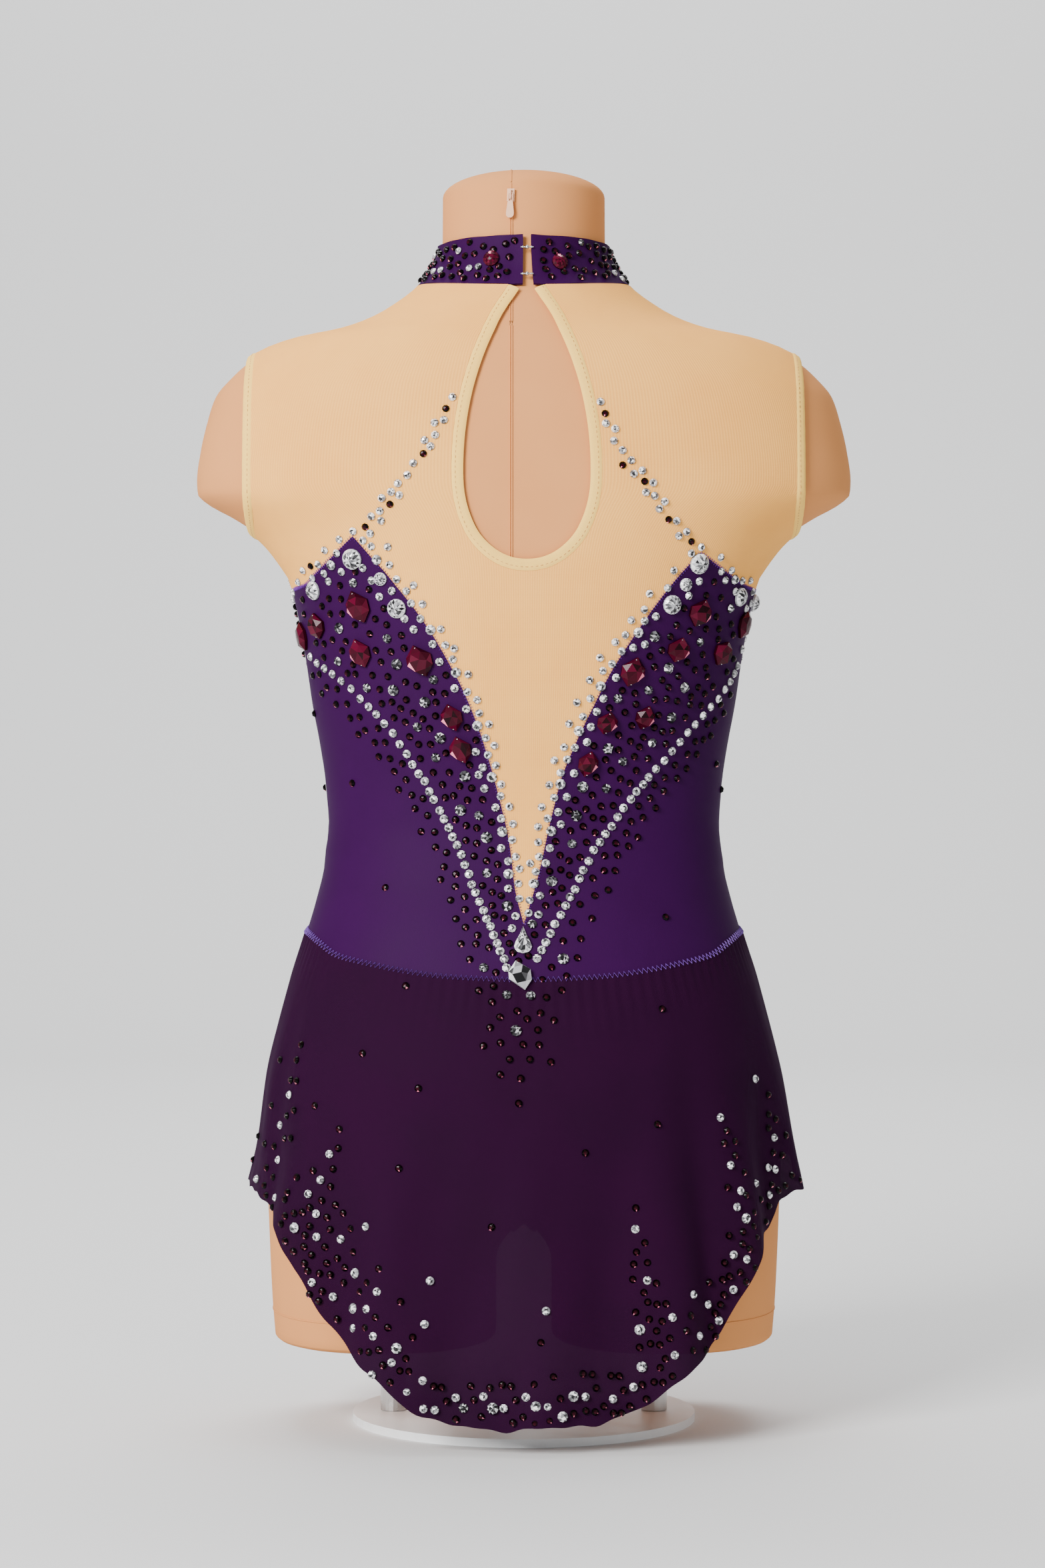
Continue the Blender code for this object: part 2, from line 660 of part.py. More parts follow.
def add_garment():
    lines = back_lines()
    keyhole = keyhole_line()
    half = math.pi / 2
    collar_right = level_line(collar_base, half, keyhole[0][0])
    collar_left = level_line(collar_base, keyhole[-1][0], -half)
    right_up = joined(lines["v"], lines["peak"], lines["side"], lines["arm"], lines["shoulder"])
    left_down = joined(mirrored(lines["shoulder"])[::-1], mirrored(lines["arm"])[::-1],
                       mirrored(lines["side"])[::-1], lines["peak_left"][::-1], lines["v_left"][::-1])
    add_panel("yoke_back", "nude_mesh", right_up + joined(collar_right, keyhole, collar_left) + left_down,
              step=YOKE_STEP)

    waist_back = level_line(waist, -half, half)
    bodice = joined(waist_back, lines["bodice_side"], lines["peak"][::-1], lines["v"][::-1],
                    lines["v_left"], lines["peak_left"], mirrored(lines["bodice_side"])[::-1])
    add_panel("bodice_back", "knit", bodice)

    top_front = level_line(
        lambda turn: BODICE_SIDE + BODICE_FRONT_RISE * math.cos(turn) ** 2, half, 3 * half)
    collar_front = level_line(collar_base, 3 * half, half)
    arm_front = other_half(lines["arm"])
    arm_far = [(math.tau - turn, height) for turn, height in arm_front]
    shoulder_far = [(3 * half, height) for _, height in lines["shoulder"]]
    side_far = [(3 * half, height) for _, height in lines["side"]]
    yoke = joined(top_front, side_far, arm_far, shoulder_far, collar_front,
                  lines["shoulder"][::-1], arm_front[::-1], lines["side"][::-1])
    add_panel("yoke_front", "nude_mesh", yoke, math.pi, step=YOKE_STEP)

    waist_front = level_line(waist, half, 3 * half)
    bodice_far = [(3 * half, height) for _, height in lines["bodice_side"]]
    front = joined(waist_front, bodice_far, top_front[::-1], lines["bodice_side"][::-1])
    add_panel("bodice_front", "knit", front, math.pi)

    brief_far = [(3 * half, height) for _, height in lines["brief_side"]]
    leg_back = level_line(leg_line, -half, half)
    leg_front = level_line(leg_line, half, 3 * half)
    add_panel("brief_back", "knit", joined(
        leg_back, lines["brief_side"], waist_back[::-1], mirrored(lines["brief_side"])[::-1]))
    add_panel("brief_front", "knit", joined(
        leg_front, brief_far, waist_front[::-1], lines["brief_side"][::-1]), math.pi)

    loop = joined(lines["arm"], arm_front[::-1])
    add_band("armhole_binding_right", "nude_elastic", loop[::-1], ARM_BAND, True)
    add_band("armhole_binding_left", "nude_elastic", mirrored(loop), ARM_BAND, True)
    add_band("keyhole_binding", "nude_elastic", keyhole_for_band(keyhole), KEYHOLE_BAND, False)


def keyhole_for_band(keyhole):
    """The opening's line, a seam's width short of the collar at both ends."""
    line = list(keyhole)
    line[0] = (line[0][0], line[0][1] - 2.2 * SEAM)
    line[-1] = (line[-1][0], line[-1][1] - 2.2 * SEAM)
    return line[::-1]


def add_collar():
    """A stand collar, open along the slit at the centre back."""
    slit = [turn_at(OPENING_X - SLIT_WIDTH / 2, COLLAR_TOP), turn_at(OPENING_X + SLIT_WIDTH / 2, COLLAR_TOP)]
    start = slit[1]
    end = slit[0] + math.tau
    columns = 28
    rows = 2
    places = []
    for r in range(rows + 1):
        for i in range(columns + 1):
            turn = start + (end - start) * i / columns
            low = collar_base(turn) + SEAM / 2
            places.append((turn, low + (COLLAR_TOP - low) * r / rows))
    faces = grid_faces(rows, columns)
    inner = [lifted(*p, UNDER) for p in places]
    outer = [lifted(*p, UNDER + COLLAR_WALL) for p in places]
    add_wall("collar", "knit", inner, outer, faces)


def grid_faces(rows, columns):
    wide = columns + 1
    return [(r * wide + i, r * wide + i + 1, (r + 1) * wide + i + 1, (r + 1) * wide + i)
            for r in range(rows) for i in range(columns)]


def fold_height(turn):
    total = 0.0
    for degrees, width, height in FOLDS:
        away = math.degrees(math.remainder(turn - math.radians(degrees), math.tau))
        total += height * math.exp(-((away / width) ** 2))
    return total


def skirt_surface(turn, height):
    """Where the skirt's inner face hangs at that turn and height."""
    top = waist(turn)
    half, back, front, side_y = skirt_size.at(height)
    free = ring_point(turn, height, half, back, front, side_y, 2.3)
    down = (top - height) / max(top - hem(turn), 0.01)
    out = Vector((math.sin(turn), -math.cos(turn), 0.0))
    free += out * fold_height(turn) * smooth(down) * min(1.0, (top - height) / 0.13)
    close = lifted(turn, height, SKIRT_UNDER)
    return close.lerp(free, smooth((top - height) / SKIRT_BLEND))


def add_skirt(name, start, end):
    margin = SEAM / 2 / 0.16
    rows = SKIRT_ROWS
    columns = SKIRT_COLUMNS
    places = []
    for r in range(rows + 1):
        share = r / rows
        for i in range(columns + 1):
            turn = start + margin + (end - start - 2 * margin) * i / columns
            low = hem(turn)
            high = waist(turn) - SEAM / 2
            places.append((turn, high + (low - high) * (0.35 * share + 0.65 * share**1.4)))
    faces = [tuple(reversed(face)) for face in grid_faces(rows, columns)]
    inner = [skirt_surface(*p) for p in places]
    outer = [lifted(*p, SKIRT_WALL, skirt_surface) for p in places]
    add_wall(name, "skirt_mesh", inner, outer, faces)


def crotch_point(share):
    """Place on the line between the legs, from the centre back to the centre front."""
    back = skin(0.0, SPLIT)
    front = skin(math.pi, SPLIT)
    spread = math.sin(math.pi * (share - 0.5)) / 2 + 0.5
    height = CROTCH + (SPLIT - CROTCH) * abs(2 * spread - 1) ** 4
    return Vector((0.0, back.y + (front.y - back.y) * spread, height))


def leg_point(angle, height):
    (outer,) = outline.at(height)
    back, front, side_y, _ = profile.at(height)
    half = (outer - LEG_GAP) / 2
    spot = ring_point(angle, height, half, back, front, side_y, 2.2)
    spot.x += (outer + LEG_GAP) / 2
    return spot


def form_columns():
    """Start of each column of the right leg: half the ring at the split, then the crotch line."""
    columns = []
    for i in range(FORM_HALF_COLUMNS + 1):
        turn = math.pi * i / FORM_HALF_COLUMNS
        angle = math.radians(-38) + turn * 256 / 180
        inward = 1 - smooth(abs(math.sin(turn)) / math.sin(math.radians(42)))
        columns.append((turn, None, angle, inward))
    for j in range(1, CROTCH_POINTS + 1):
        share = 1 - j / (CROTCH_POINTS + 1)
        angle = math.radians(218 + 104 * j / (CROTCH_POINTS + 1))
        columns.append((None, share, angle, 1.0))
    return columns


LEG_ROWS = [0.0, 0.05, 0.12, 0.22, 0.36, 0.54, 0.76, 1.0]


def leg_spot(column, v):
    turn, share, angle, inward = column
    start = skin(turn, SPLIT) if share is None else crotch_point(share)
    height = start.z + (THIGH_END - start.z) * v
    target = leg_point(angle, height)
    if share is None:
        here = skin(turn, height)
    else:
        here = Vector((start.x, start.y, height))
    quick = math.sin(min(1.0, v / 0.42) * math.pi / 2)
    slow = smooth(v / 0.8)
    return here.lerp(target, slow + (quick - slow) * inward)


def form_mesh():
    """Points and faces of the dress form, and the index of each leg point."""
    points = []
    faces = []
    around = 2 * FORM_HALF_COLUMNS
    levels = [SPLIT, 0.185, 0.208, 0.234, 0.262, 0.290, 0.315, 0.340, 0.365, 0.390, 0.415, 0.442, 0.470,
              0.495, 0.512, 0.525, 0.537, 0.548, 0.558, 0.567, 0.582, 0.606, 0.626, 0.639, 0.649, 0.657, 0.663,
              0.669, 0.676, 0.684, 0.693, 0.704, 0.718, NECK_EDGE]
    rings = []
    for height in levels:
        ring = []
        for i in range(around):
            ring.append(len(points))
            points.append(skin(math.tau * i / around, height))
        rings.append(ring)
    for share in (0.35, 0.65, 0.88):
        ring = []
        angle = share * math.pi / 2
        height = NECK_EDGE + (NECK_TOP - NECK_EDGE) * math.sin(angle)
        for i in range(around):
            ring.append(len(points))
            spot = skin(math.tau * i / around, NECK_EDGE)
            middle = Vector((0.0, profile.at(NECK_EDGE)[2], 0.0))
            spot = middle + (spot - middle) * math.cos(angle)
            spot.z = height
            points.append(spot)
        rings.append(ring)
    for low, high in zip(rings, rings[1:]):
        for i in range(around):
            j = (i + 1) % around
            faces.append((low[i], low[j], high[j], high[i]))
    top = len(points)
    points.append(Vector((0.0, profile.at(NECK_EDGE)[2], NECK_TOP)))
    faces += [(rings[-1][i], rings[-1][(i + 1) % around], top) for i in range(around)]

    columns = form_columns()
    crotch = []
    for j in range(CROTCH_POINTS):
        crotch.append(len(points))
        points.append(crotch_point(columns[FORM_HALF_COLUMNS + 1 + j][1]))
    legs = {}
    for side in (1, -1):
        first = [rings[0][(side * i) % around] for i in range(FORM_HALF_COLUMNS + 1)] + crotch
        grid = [first]
        for v in LEG_ROWS[1:]:
            row = []
            for column in columns:
                spot = leg_spot(column, v)
                row.append(len(points))
                points.append(Vector((side * spot.x, spot.y, spot.z)))
            grid.append(row)
        for shrink, drop in ((0.965, 0.0022), (0.88, 0.0035)):
            row = []
            middle = leg_middle(side)
            for k in grid[len(LEG_ROWS) - 1]:
                spot = middle + (points[k] - middle) * shrink
                spot.z = THIGH_END - drop
                row.append(len(points))
                points.append(spot)
            grid.append(row)
        count = len(columns)
        for upper, lower in zip(grid, grid[1:]):
            for i in range(count):
                j = (i + 1) % count
                quad = (upper[i], lower[i], lower[j], upper[j])
                faces.append(quad if side > 0 else tuple(reversed(quad)))
        end = len(points)
        points.append(leg_middle(side) + Vector((0.0, 0.0, -0.0035)))
        for i in range(count):
            three = (grid[-1][i], end, grid[-1][(i + 1) % count])
            faces.append(three if side > 0 else tuple(reversed(three)))
        legs[side] = grid
    return points, faces, legs


def leg_middle(side):
    (outer,) = outline.at(THIGH_END)
    return Vector((side * (outer + LEG_GAP) / 2, profile.at(THIGH_END)[2], THIGH_END))


def add_form():
    points, faces, legs = form_mesh()
    form = add_solid("dress_form", "form_cover", points, faces)
    add_gusset(form, legs)


def add_gusset(form, legs):
    """A strip between the legs, made from the form's own points moved out."""
    keep = []
    ends = 1
    count = FORM_HALF_COLUMNS + 1 + CROTCH_POINTS
    strip = list(range(FORM_HALF_COLUMNS - ends, count)) + list(range(0, ends + 1))
    for side in (1, -1):
        grid = legs[side]
        for r in range(GUSSET_ROWS):
            for a, b in zip(strip, strip[1:]):
                quad = (grid[r][a], grid[r + 1][a], grid[r + 1][b], grid[r][b])
                keep.append(quad if side > 0 else tuple(reversed(quad)))
    used = sorted({i for quad in keep for i in quad})
    steepest = {i: 1.0 for i in used}
    for face in form.data.polygons:
        for i in face.vertices:
            if i in steepest:
                steepest[i] = min(steepest[i], face.normal.dot(form.data.vertices[i].normal))
    place = {old: new for new, old in enumerate(used)}
    inner = []
    outer = []
    for i in used:
        vertex = form.data.vertices[i]
        spot = vertex.co.copy()
        at_top = abs(spot.z - SPLIT) < 1e-6 and abs(spot.y) > 0.03
        drop = Vector((0.0, 0.0, -SEAM)) if at_top else Vector()
        even = vertex.normal / max(0.6, steepest[i])
        inner.append(spot + even * (UNDER + SEAM) + drop)
        outer.append(spot + even * (OUTER + SEAM) + drop)
    add_wall("brief_gusset", "knit", inner, outer, [tuple(place[i] for i in quad) for quad in keep])


def frame_on(turn, height, lift, tilt=0.0):
    """Local axes on the cloth: across, up and outwards."""
    by_turn, by_height = slants(turn, height)
    out = by_turn.cross(by_height).normalized()
    across = by_turn.normalized()
    up = out.cross(across)
    turned = Matrix.Rotation(tilt, 3, out)
    across = turned @ across
    up = turned @ up
    return Matrix.Translation(skin(turn, height) + out * lift) @ Matrix((across, up, out)).transposed().to_4x4()


def cloth_tree(*names):
    """The named pieces' faces, for finding what lies under a stone."""
    points = []
    faces = []
    for name in names:
        data = bpy.data.objects[name].data
        start = len(points)
        points += [vertex.co.copy() for vertex in data.vertices]
        faces += [[start + i for i in face.vertices] for face in data.polygons]
    return BVHTree.FromPolygons(points, faces)


def rise_to_clear(here, shape, width, length, tree):
    """How far a stone's flat back moves out to lie just clear of the cloth."""
    out = here.col[2].to_3d()
    nearest = 1.0
    for share in (0.0, 0.35, 0.7, 1.0):
        for px, py in shape:
            spot = here @ Vector((px * share * width / 2, py * share * length / 2, 0.0))
            hit, _, _, _ = tree.ray_cast(spot + out * 0.02, -out, 0.04)
            if hit is not None:
                nearest = min(nearest, (spot - hit).dot(out))
    return STONE_LIFT - nearest if nearest < 1.0 else 0.0


def add_stone(tree, name, cut, x, height, width, length, tilt, material):
    """A faceted stone: back, widest line and flat top."""
    turn = turn_at(x, height)
    shape = CUTS[cut]
    here = frame_on(turn, height, OUTER, math.radians(tilt))
    here = Matrix.Translation(here.col[2].to_3d() * rise_to_clear(here, shape, width, length, tree)) @ here
    thick = STONE_HEIGHT * (0.8 if width < 0.011 else 1.0)
    points = []
    for share, rise in STONE_RINGS:
        for px, py in shape:
            points.append(here @ Vector((px * share * width / 2, py * share * length / 2, rise * thick)))
    count = len(shape)
    faces = []
    last = len(STONE_RINGS) - 1
    for r in range(last):
        for i in range(count):
            j = (i + 1) % count
            faces.append((r * count + i, r * count + j, (r + 1) * count + j, (r + 1) * count + i))
    faces.append(tuple(range(last * count, (last + 1) * count)))
    faces.append(tuple(reversed(range(count))))
    add_solid("stone_" + name, material, points, faces)


def add_box(name, material, size, place):
    bpy.ops.mesh.primitive_cube_add(size=1)
    made = bpy.context.object
    made.name = name
    made.data.name = name
    for vertex in made.data.vertices:
        vertex.co = Vector(vertex.co[k] * size[k] for k in range(3))
    made.matrix_world = place
    made.data.materials.append(finish(material))
    return made


def add_plate(name, material, half_outline, thick, place):
    """A flat plate of that thickness with a symmetric outline."""
    outline = [(-x, y) for x, y in half_outline] + list(reversed(half_outline))
    count = len(outline)
    points = [(x, y, side * thick / 2) for side in (-1, 1) for x, y in outline]
    faces = [tuple(range(count))[::-1], tuple(range(count, 2 * count))]
    faces += [(i, (i + 1) % count, count + (i + 1) % count, count + i) for i in range(count)]
    made = add_solid(name, material, points, faces)
    made.matrix_world = place
    return made


def add_collar_hook(name, height):
    """A rounded metal bar that closes the slit."""
    turn = turn_at(OPENING_X, height)
    here = frame_on(turn, height, UNDER + COLLAR_WALL + 0.0004 + 0.0013)
    bpy.ops.mesh.primitive_uv_sphere_add(segments=12, ring_count=8, radius=1)
    made = bpy.context.object
    made.name = name
    made.data.name = name
    for vertex in made.data.vertices:
        vertex.co = Vector((vertex.co.x * 0.0042, vertex.co.y * 0.0013, vertex.co.z * 0.0013))
    made.matrix_world = here
    made.data.materials.append(finish("steel"))


def cut_by(target, boxes, operation):
    """Boolean each box into or out of the target, then drop the boxes."""
    for tool in boxes:
        change = target.modifiers.new("cut", "BOOLEAN")
        change.operation = operation
        change.solver = "EXACT"
        change.object = tool
        bpy.context.view_layer.objects.active = target
        bpy.ops.object.modifier_apply(modifier=change.name)
        bpy.data.objects.remove(tool, do_unlink=True)


def add_zip():
    """Slider with its bridge, and the pull that hangs from the bridge along the neck."""
    here = frame_on(turn_at(ZIP_X, ZIP_Z), ZIP_Z, 2 * SEAM)

    def at(up, out):
        return here @ Matrix.Translation((0.0, up, out))

    slider = add_box("zip_slider", "nude_paint", (SLIDER_WIDTH, SLIDER_HEIGHT, SLIDER_THICK), at(0, SLIDER_THICK / 2))
    gap = BAR + 2 * SEAM
    bridge = []
    for sign in (1, -1):
        bridge.append(add_box("post", "nude_paint", (BAR, BAR, gap + 2 * BAR),
                              at(sign * (SLIDER_HEIGHT / 2 - 0.0016), SLIDER_THICK + gap / 2)))
    bridge.append(add_box("bar", "nude_paint", (BAR * 1.02, SLIDER_HEIGHT - 0.0016, BAR * 1.02),
                          at(0, SLIDER_THICK + gap + BAR / 2)))
    cut_by(slider, bridge, "UNION")

    axis_out = SLIDER_THICK + gap / 2
    pull = add_plate("zip_pull", "nude_paint", PULL_OUTLINE, PULL_THICK,
                     at(PULL_AXIS + BAR / 2 - PULL_LENGTH / 2, axis_out))
    hole = add_box("hole", "nude_paint", (BAR + 2 * PULL_CLEAR, PULL_HOLE, 0.01),
                   at(PULL_AXIS - BAR / 2 - PULL_HOLE / 2, axis_out))
    cut_by(pull, [hole], "DIFFERENCE")
    pivot = here @ Matrix.Translation((0.0, PULL_AXIS, axis_out))
    pull.data.transform(pivot.inverted() @ pull.matrix_world)
    pull.matrix_world = pivot


def add_stand():
    bpy.ops.mesh.primitive_cylinder_add(vertices=48, radius=BASE_RADIUS, depth=BASE_THICK,
                                        location=(0, BASE_Y, BASE_THICK / 2))
    base = bpy.context.object
    base.name = "stand_base"
    base.data.name = "stand_base"
    base.data.materials.append(finish("white_paint"))
    bottom = THIGH_END - 0.0035 - SEAM
    length = bottom - BASE_THICK - SEAM
    for side, label in ((1, "right"), (-1, "left")):
        bpy.ops.mesh.primitive_cylinder_add(vertices=20, radius=ROD_RADIUS, depth=length,
                                            location=(side * ROD_X, BASE_Y, BASE_THICK + SEAM + length / 2))
        rod = bpy.context.object
        rod.name = "stand_rod_" + label
        rod.data.name = rod.name
        rod.data.materials.append(finish("steel"))


def main():
    clear_scene()
    add_form()
    add_garment()
    add_collar()
    add_skirt("skirt_back", -math.pi / 2, math.pi / 2)
    add_skirt("skirt_front", math.pi / 2, 3 * math.pi / 2)
    tree = cloth_tree("bodice_back", "yoke_back", "collar", "skirt_back")
    for row in STONES:
        add_stone(tree, *row)
    add_collar_hook("collar_hook_upper", 0.7105)
    add_collar_hook("collar_hook_lower", 0.6925)
    add_stand()
    add_zip()


main()
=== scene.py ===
"""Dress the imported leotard: cloth, stones, thread, dress form, stand, light and camera."""
import logging
import math
import random
from collections.abc import Callable, Sequence
from dataclasses import dataclass, field
from enum import Enum

import bmesh
import bpy
import numpy as np
from mathutils import Matrix, Vector
from mathutils.geometry import delaunay_2d_cdt


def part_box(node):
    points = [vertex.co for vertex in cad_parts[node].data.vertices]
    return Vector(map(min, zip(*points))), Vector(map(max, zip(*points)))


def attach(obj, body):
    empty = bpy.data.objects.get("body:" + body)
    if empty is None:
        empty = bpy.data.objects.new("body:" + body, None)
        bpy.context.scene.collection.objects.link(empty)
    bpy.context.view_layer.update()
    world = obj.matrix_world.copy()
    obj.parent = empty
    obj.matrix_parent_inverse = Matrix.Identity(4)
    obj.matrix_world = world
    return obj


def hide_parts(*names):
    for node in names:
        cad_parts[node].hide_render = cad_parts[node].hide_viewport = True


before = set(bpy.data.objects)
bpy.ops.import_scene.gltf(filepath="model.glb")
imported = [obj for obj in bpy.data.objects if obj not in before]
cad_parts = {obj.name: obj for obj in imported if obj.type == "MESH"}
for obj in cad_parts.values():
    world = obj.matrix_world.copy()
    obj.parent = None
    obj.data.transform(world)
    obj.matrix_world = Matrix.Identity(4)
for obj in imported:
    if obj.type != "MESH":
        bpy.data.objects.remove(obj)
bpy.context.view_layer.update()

LOG = logging.getLogger("leotard")

BODY = "dressed_form"
SHARP_DEGREES = 50.0
CLOTH_MAP = "Cloth"
# Per-face tone of the stones' facets, which carries their painted reflections and painted glints
FACET_PAINTED_LIGHT = "FacetPaintedLight"

# Cloth, in metres
UNDER = 0.0017
OUTER = 0.0027
SEAM = 0.0003
EDGE_GAP = SEAM / 8
FINE_STEP = 0.0068
EDGE_STEP = 0.0030
RADIUS = 0.1150

# Heights and places, the same as in the solids
COLLAR_TOP = 0.7190
COLLAR_BACK = 0.6870
COLLAR_SIDE_RISE = 0.0055
COLLAR_OUTER = 0.0031
COLLAR_RADIUS = 0.052
BODICE_SIDE = 0.5080
BODICE_FRONT_RISE = 0.0340
LEG_SIDE = 0.2150
LEG_CENTRE = 0.1650
OPENING_X = 0.0018
SLIT_WIDTH = 0.0045
ARMHOLE_X = 0.1622
ARM_BAND = 0.0063
KEYHOLE_BAND = 0.0070
BAND_OUTER = 0.0032
SKIRT_UNDER = OUTER + SEAM
SKIRT_WALL = 0.0010
SKIRT_BLEND = 0.030
NECK_EDGE = 0.7500
NECK_TOP = 0.7662
CROTCH = 0.1280
THIGH_END = 0.0540
LEG_GAP = 0.0170
ZIP_X = -0.0076
ZIP_Z = 0.7440

Row = tuple[float, ...]
Places = np.ndarray


class Track:
    """Smooth columns through a table's rows, with no overshoot between rows."""

    def __init__(self, rows: Sequence[Row]) -> None:
        """Keep the rows and work out a slope at each.

        Args:
            rows: the key first, then one value for each column.
        """
        table = np.array(rows, float)
        self.keys = table[:, 0]
        self.values = table[:, 1:]
        steps = np.diff(self.keys)[:, None]
        rates = np.diff(self.values, axis=0) / steps
        slopes = np.zeros_like(self.values)
        slopes[0] = rates[0]
        slopes[-1] = rates[-1]
        before = rates[:-1]
        after = rates[1:]
        w0 = 2 * steps[1:] + steps[:-1]
        w1 = steps[1:] + 2 * steps[:-1]
        same = before * after > 0
        safe_before = np.where(same, before, 1.0)
        safe_after = np.where(same, after, 1.0)
        slopes[1:-1] = np.where(same, (w0 + w1) / (w0 / safe_before + w1 / safe_after), 0.0)
        self.slopes = slopes

    def at(self, key: Places) -> Places:
        """Values at the keys, one row for each.

        Args:
            key: the keys, held inside the table.

        Returns:
            One column for each of the table's.
        """
        key = np.clip(np.atleast_1d(np.asarray(key, float)), self.keys[0], self.keys[-1])
        i = np.clip(np.searchsorted(self.keys, key) - 1, 0, len(self.keys) - 2)
        step = (self.keys[i + 1] - self.keys[i])[:, None]
        t = (key - self.keys[i])[:, None] / step
        a = 2 * t**3 - 3 * t**2 + 1
        b = (t**3 - 2 * t**2 + t) * step
        c = 3 * t**2 - 2 * t**3
        d = (t**3 - t**2) * step
        return a * self.values[i] + b * self.slopes[i] + c * self.values[i + 1] + d * self.slopes[i + 1]


def smooth(t: Places) -> Places:
    """Ease from 0 to 1."""
    t = np.clip(t, 0.0, 1.0)
    return t * t * (3 - 2 * t)


def ring_points(turn: Places, half: Places, back: Places, front: Places, side_y: Places, square: Places,
                height: Places) -> Places:
    """Points of rounded plans that are squarer than an ellipse.

    Args:
        turn: turn about Z, 0 at the centre back.
        half: half width of the plan.
        back: depth behind the side line.
        front: depth before it.
        side_y: the side line's Y.
        square: 2 for an ellipse, more for a squarer plan.
        height: Z.

    Returns:
        One point a row.
    """
    s = np.sin(turn)
    c = np.cos(turn)
    k = (np.abs(s) ** square + np.abs(c) ** square) ** (-1 / square)
    depth = np.where(c > 0, back, front)
    return np.stack([k * half * s, side_y - k * depth * c, np.broadcast_to(height, s.shape)], 1)


def unit(vectors: Places) -> Places:
    """The vectors at length one."""
    return vectors / np.maximum(np.linalg.norm(vectors, axis=1, keepdims=True), 1e-12)


@dataclass
class Surface:
    """A surface given by a turn about Z and a height."""

    def point(self, turn: Places, height: Places) -> Places:
        """Points of the surface."""
        raise NotImplementedError

    def slants(self, turn: Places, height: Places) -> tuple[Places, Places]:
        """How the points move with the turn and with the height.

        Args:
            turn: turns about Z.
            height: heights.

        Returns:
            Both derivatives, one row a place.
        """
        t = 0.0005
        h = 0.00005
        by_turn = (self.point(turn + t, height) - self.point(turn - t, height)) / (2 * t)
        by_height = (self.point(turn, height + h) - self.point(turn, height - h)) / (2 * h)
        return by_turn, by_height

    def lifted(self, turn: Places, height: Places, lift: Places | float) -> Places:
        """Points moved out along the surface's normals.

        Args:
            turn: turns about Z.
            height: heights.
            lift: distance out, one for all or one a place.

        Returns:
            One point a row.
        """
        by_turn, by_height = self.slants(turn, height)
        out = unit(np.cross(by_turn, by_height))
        return self.point(turn, height) + out * np.reshape(lift, (-1, 1))

    def spot(self, turn: float, height: float, lift: float) -> Places:
        """One point moved out along the surface's normal."""
        return self.lifted(np.array([turn]), np.array([height]), lift)[0]


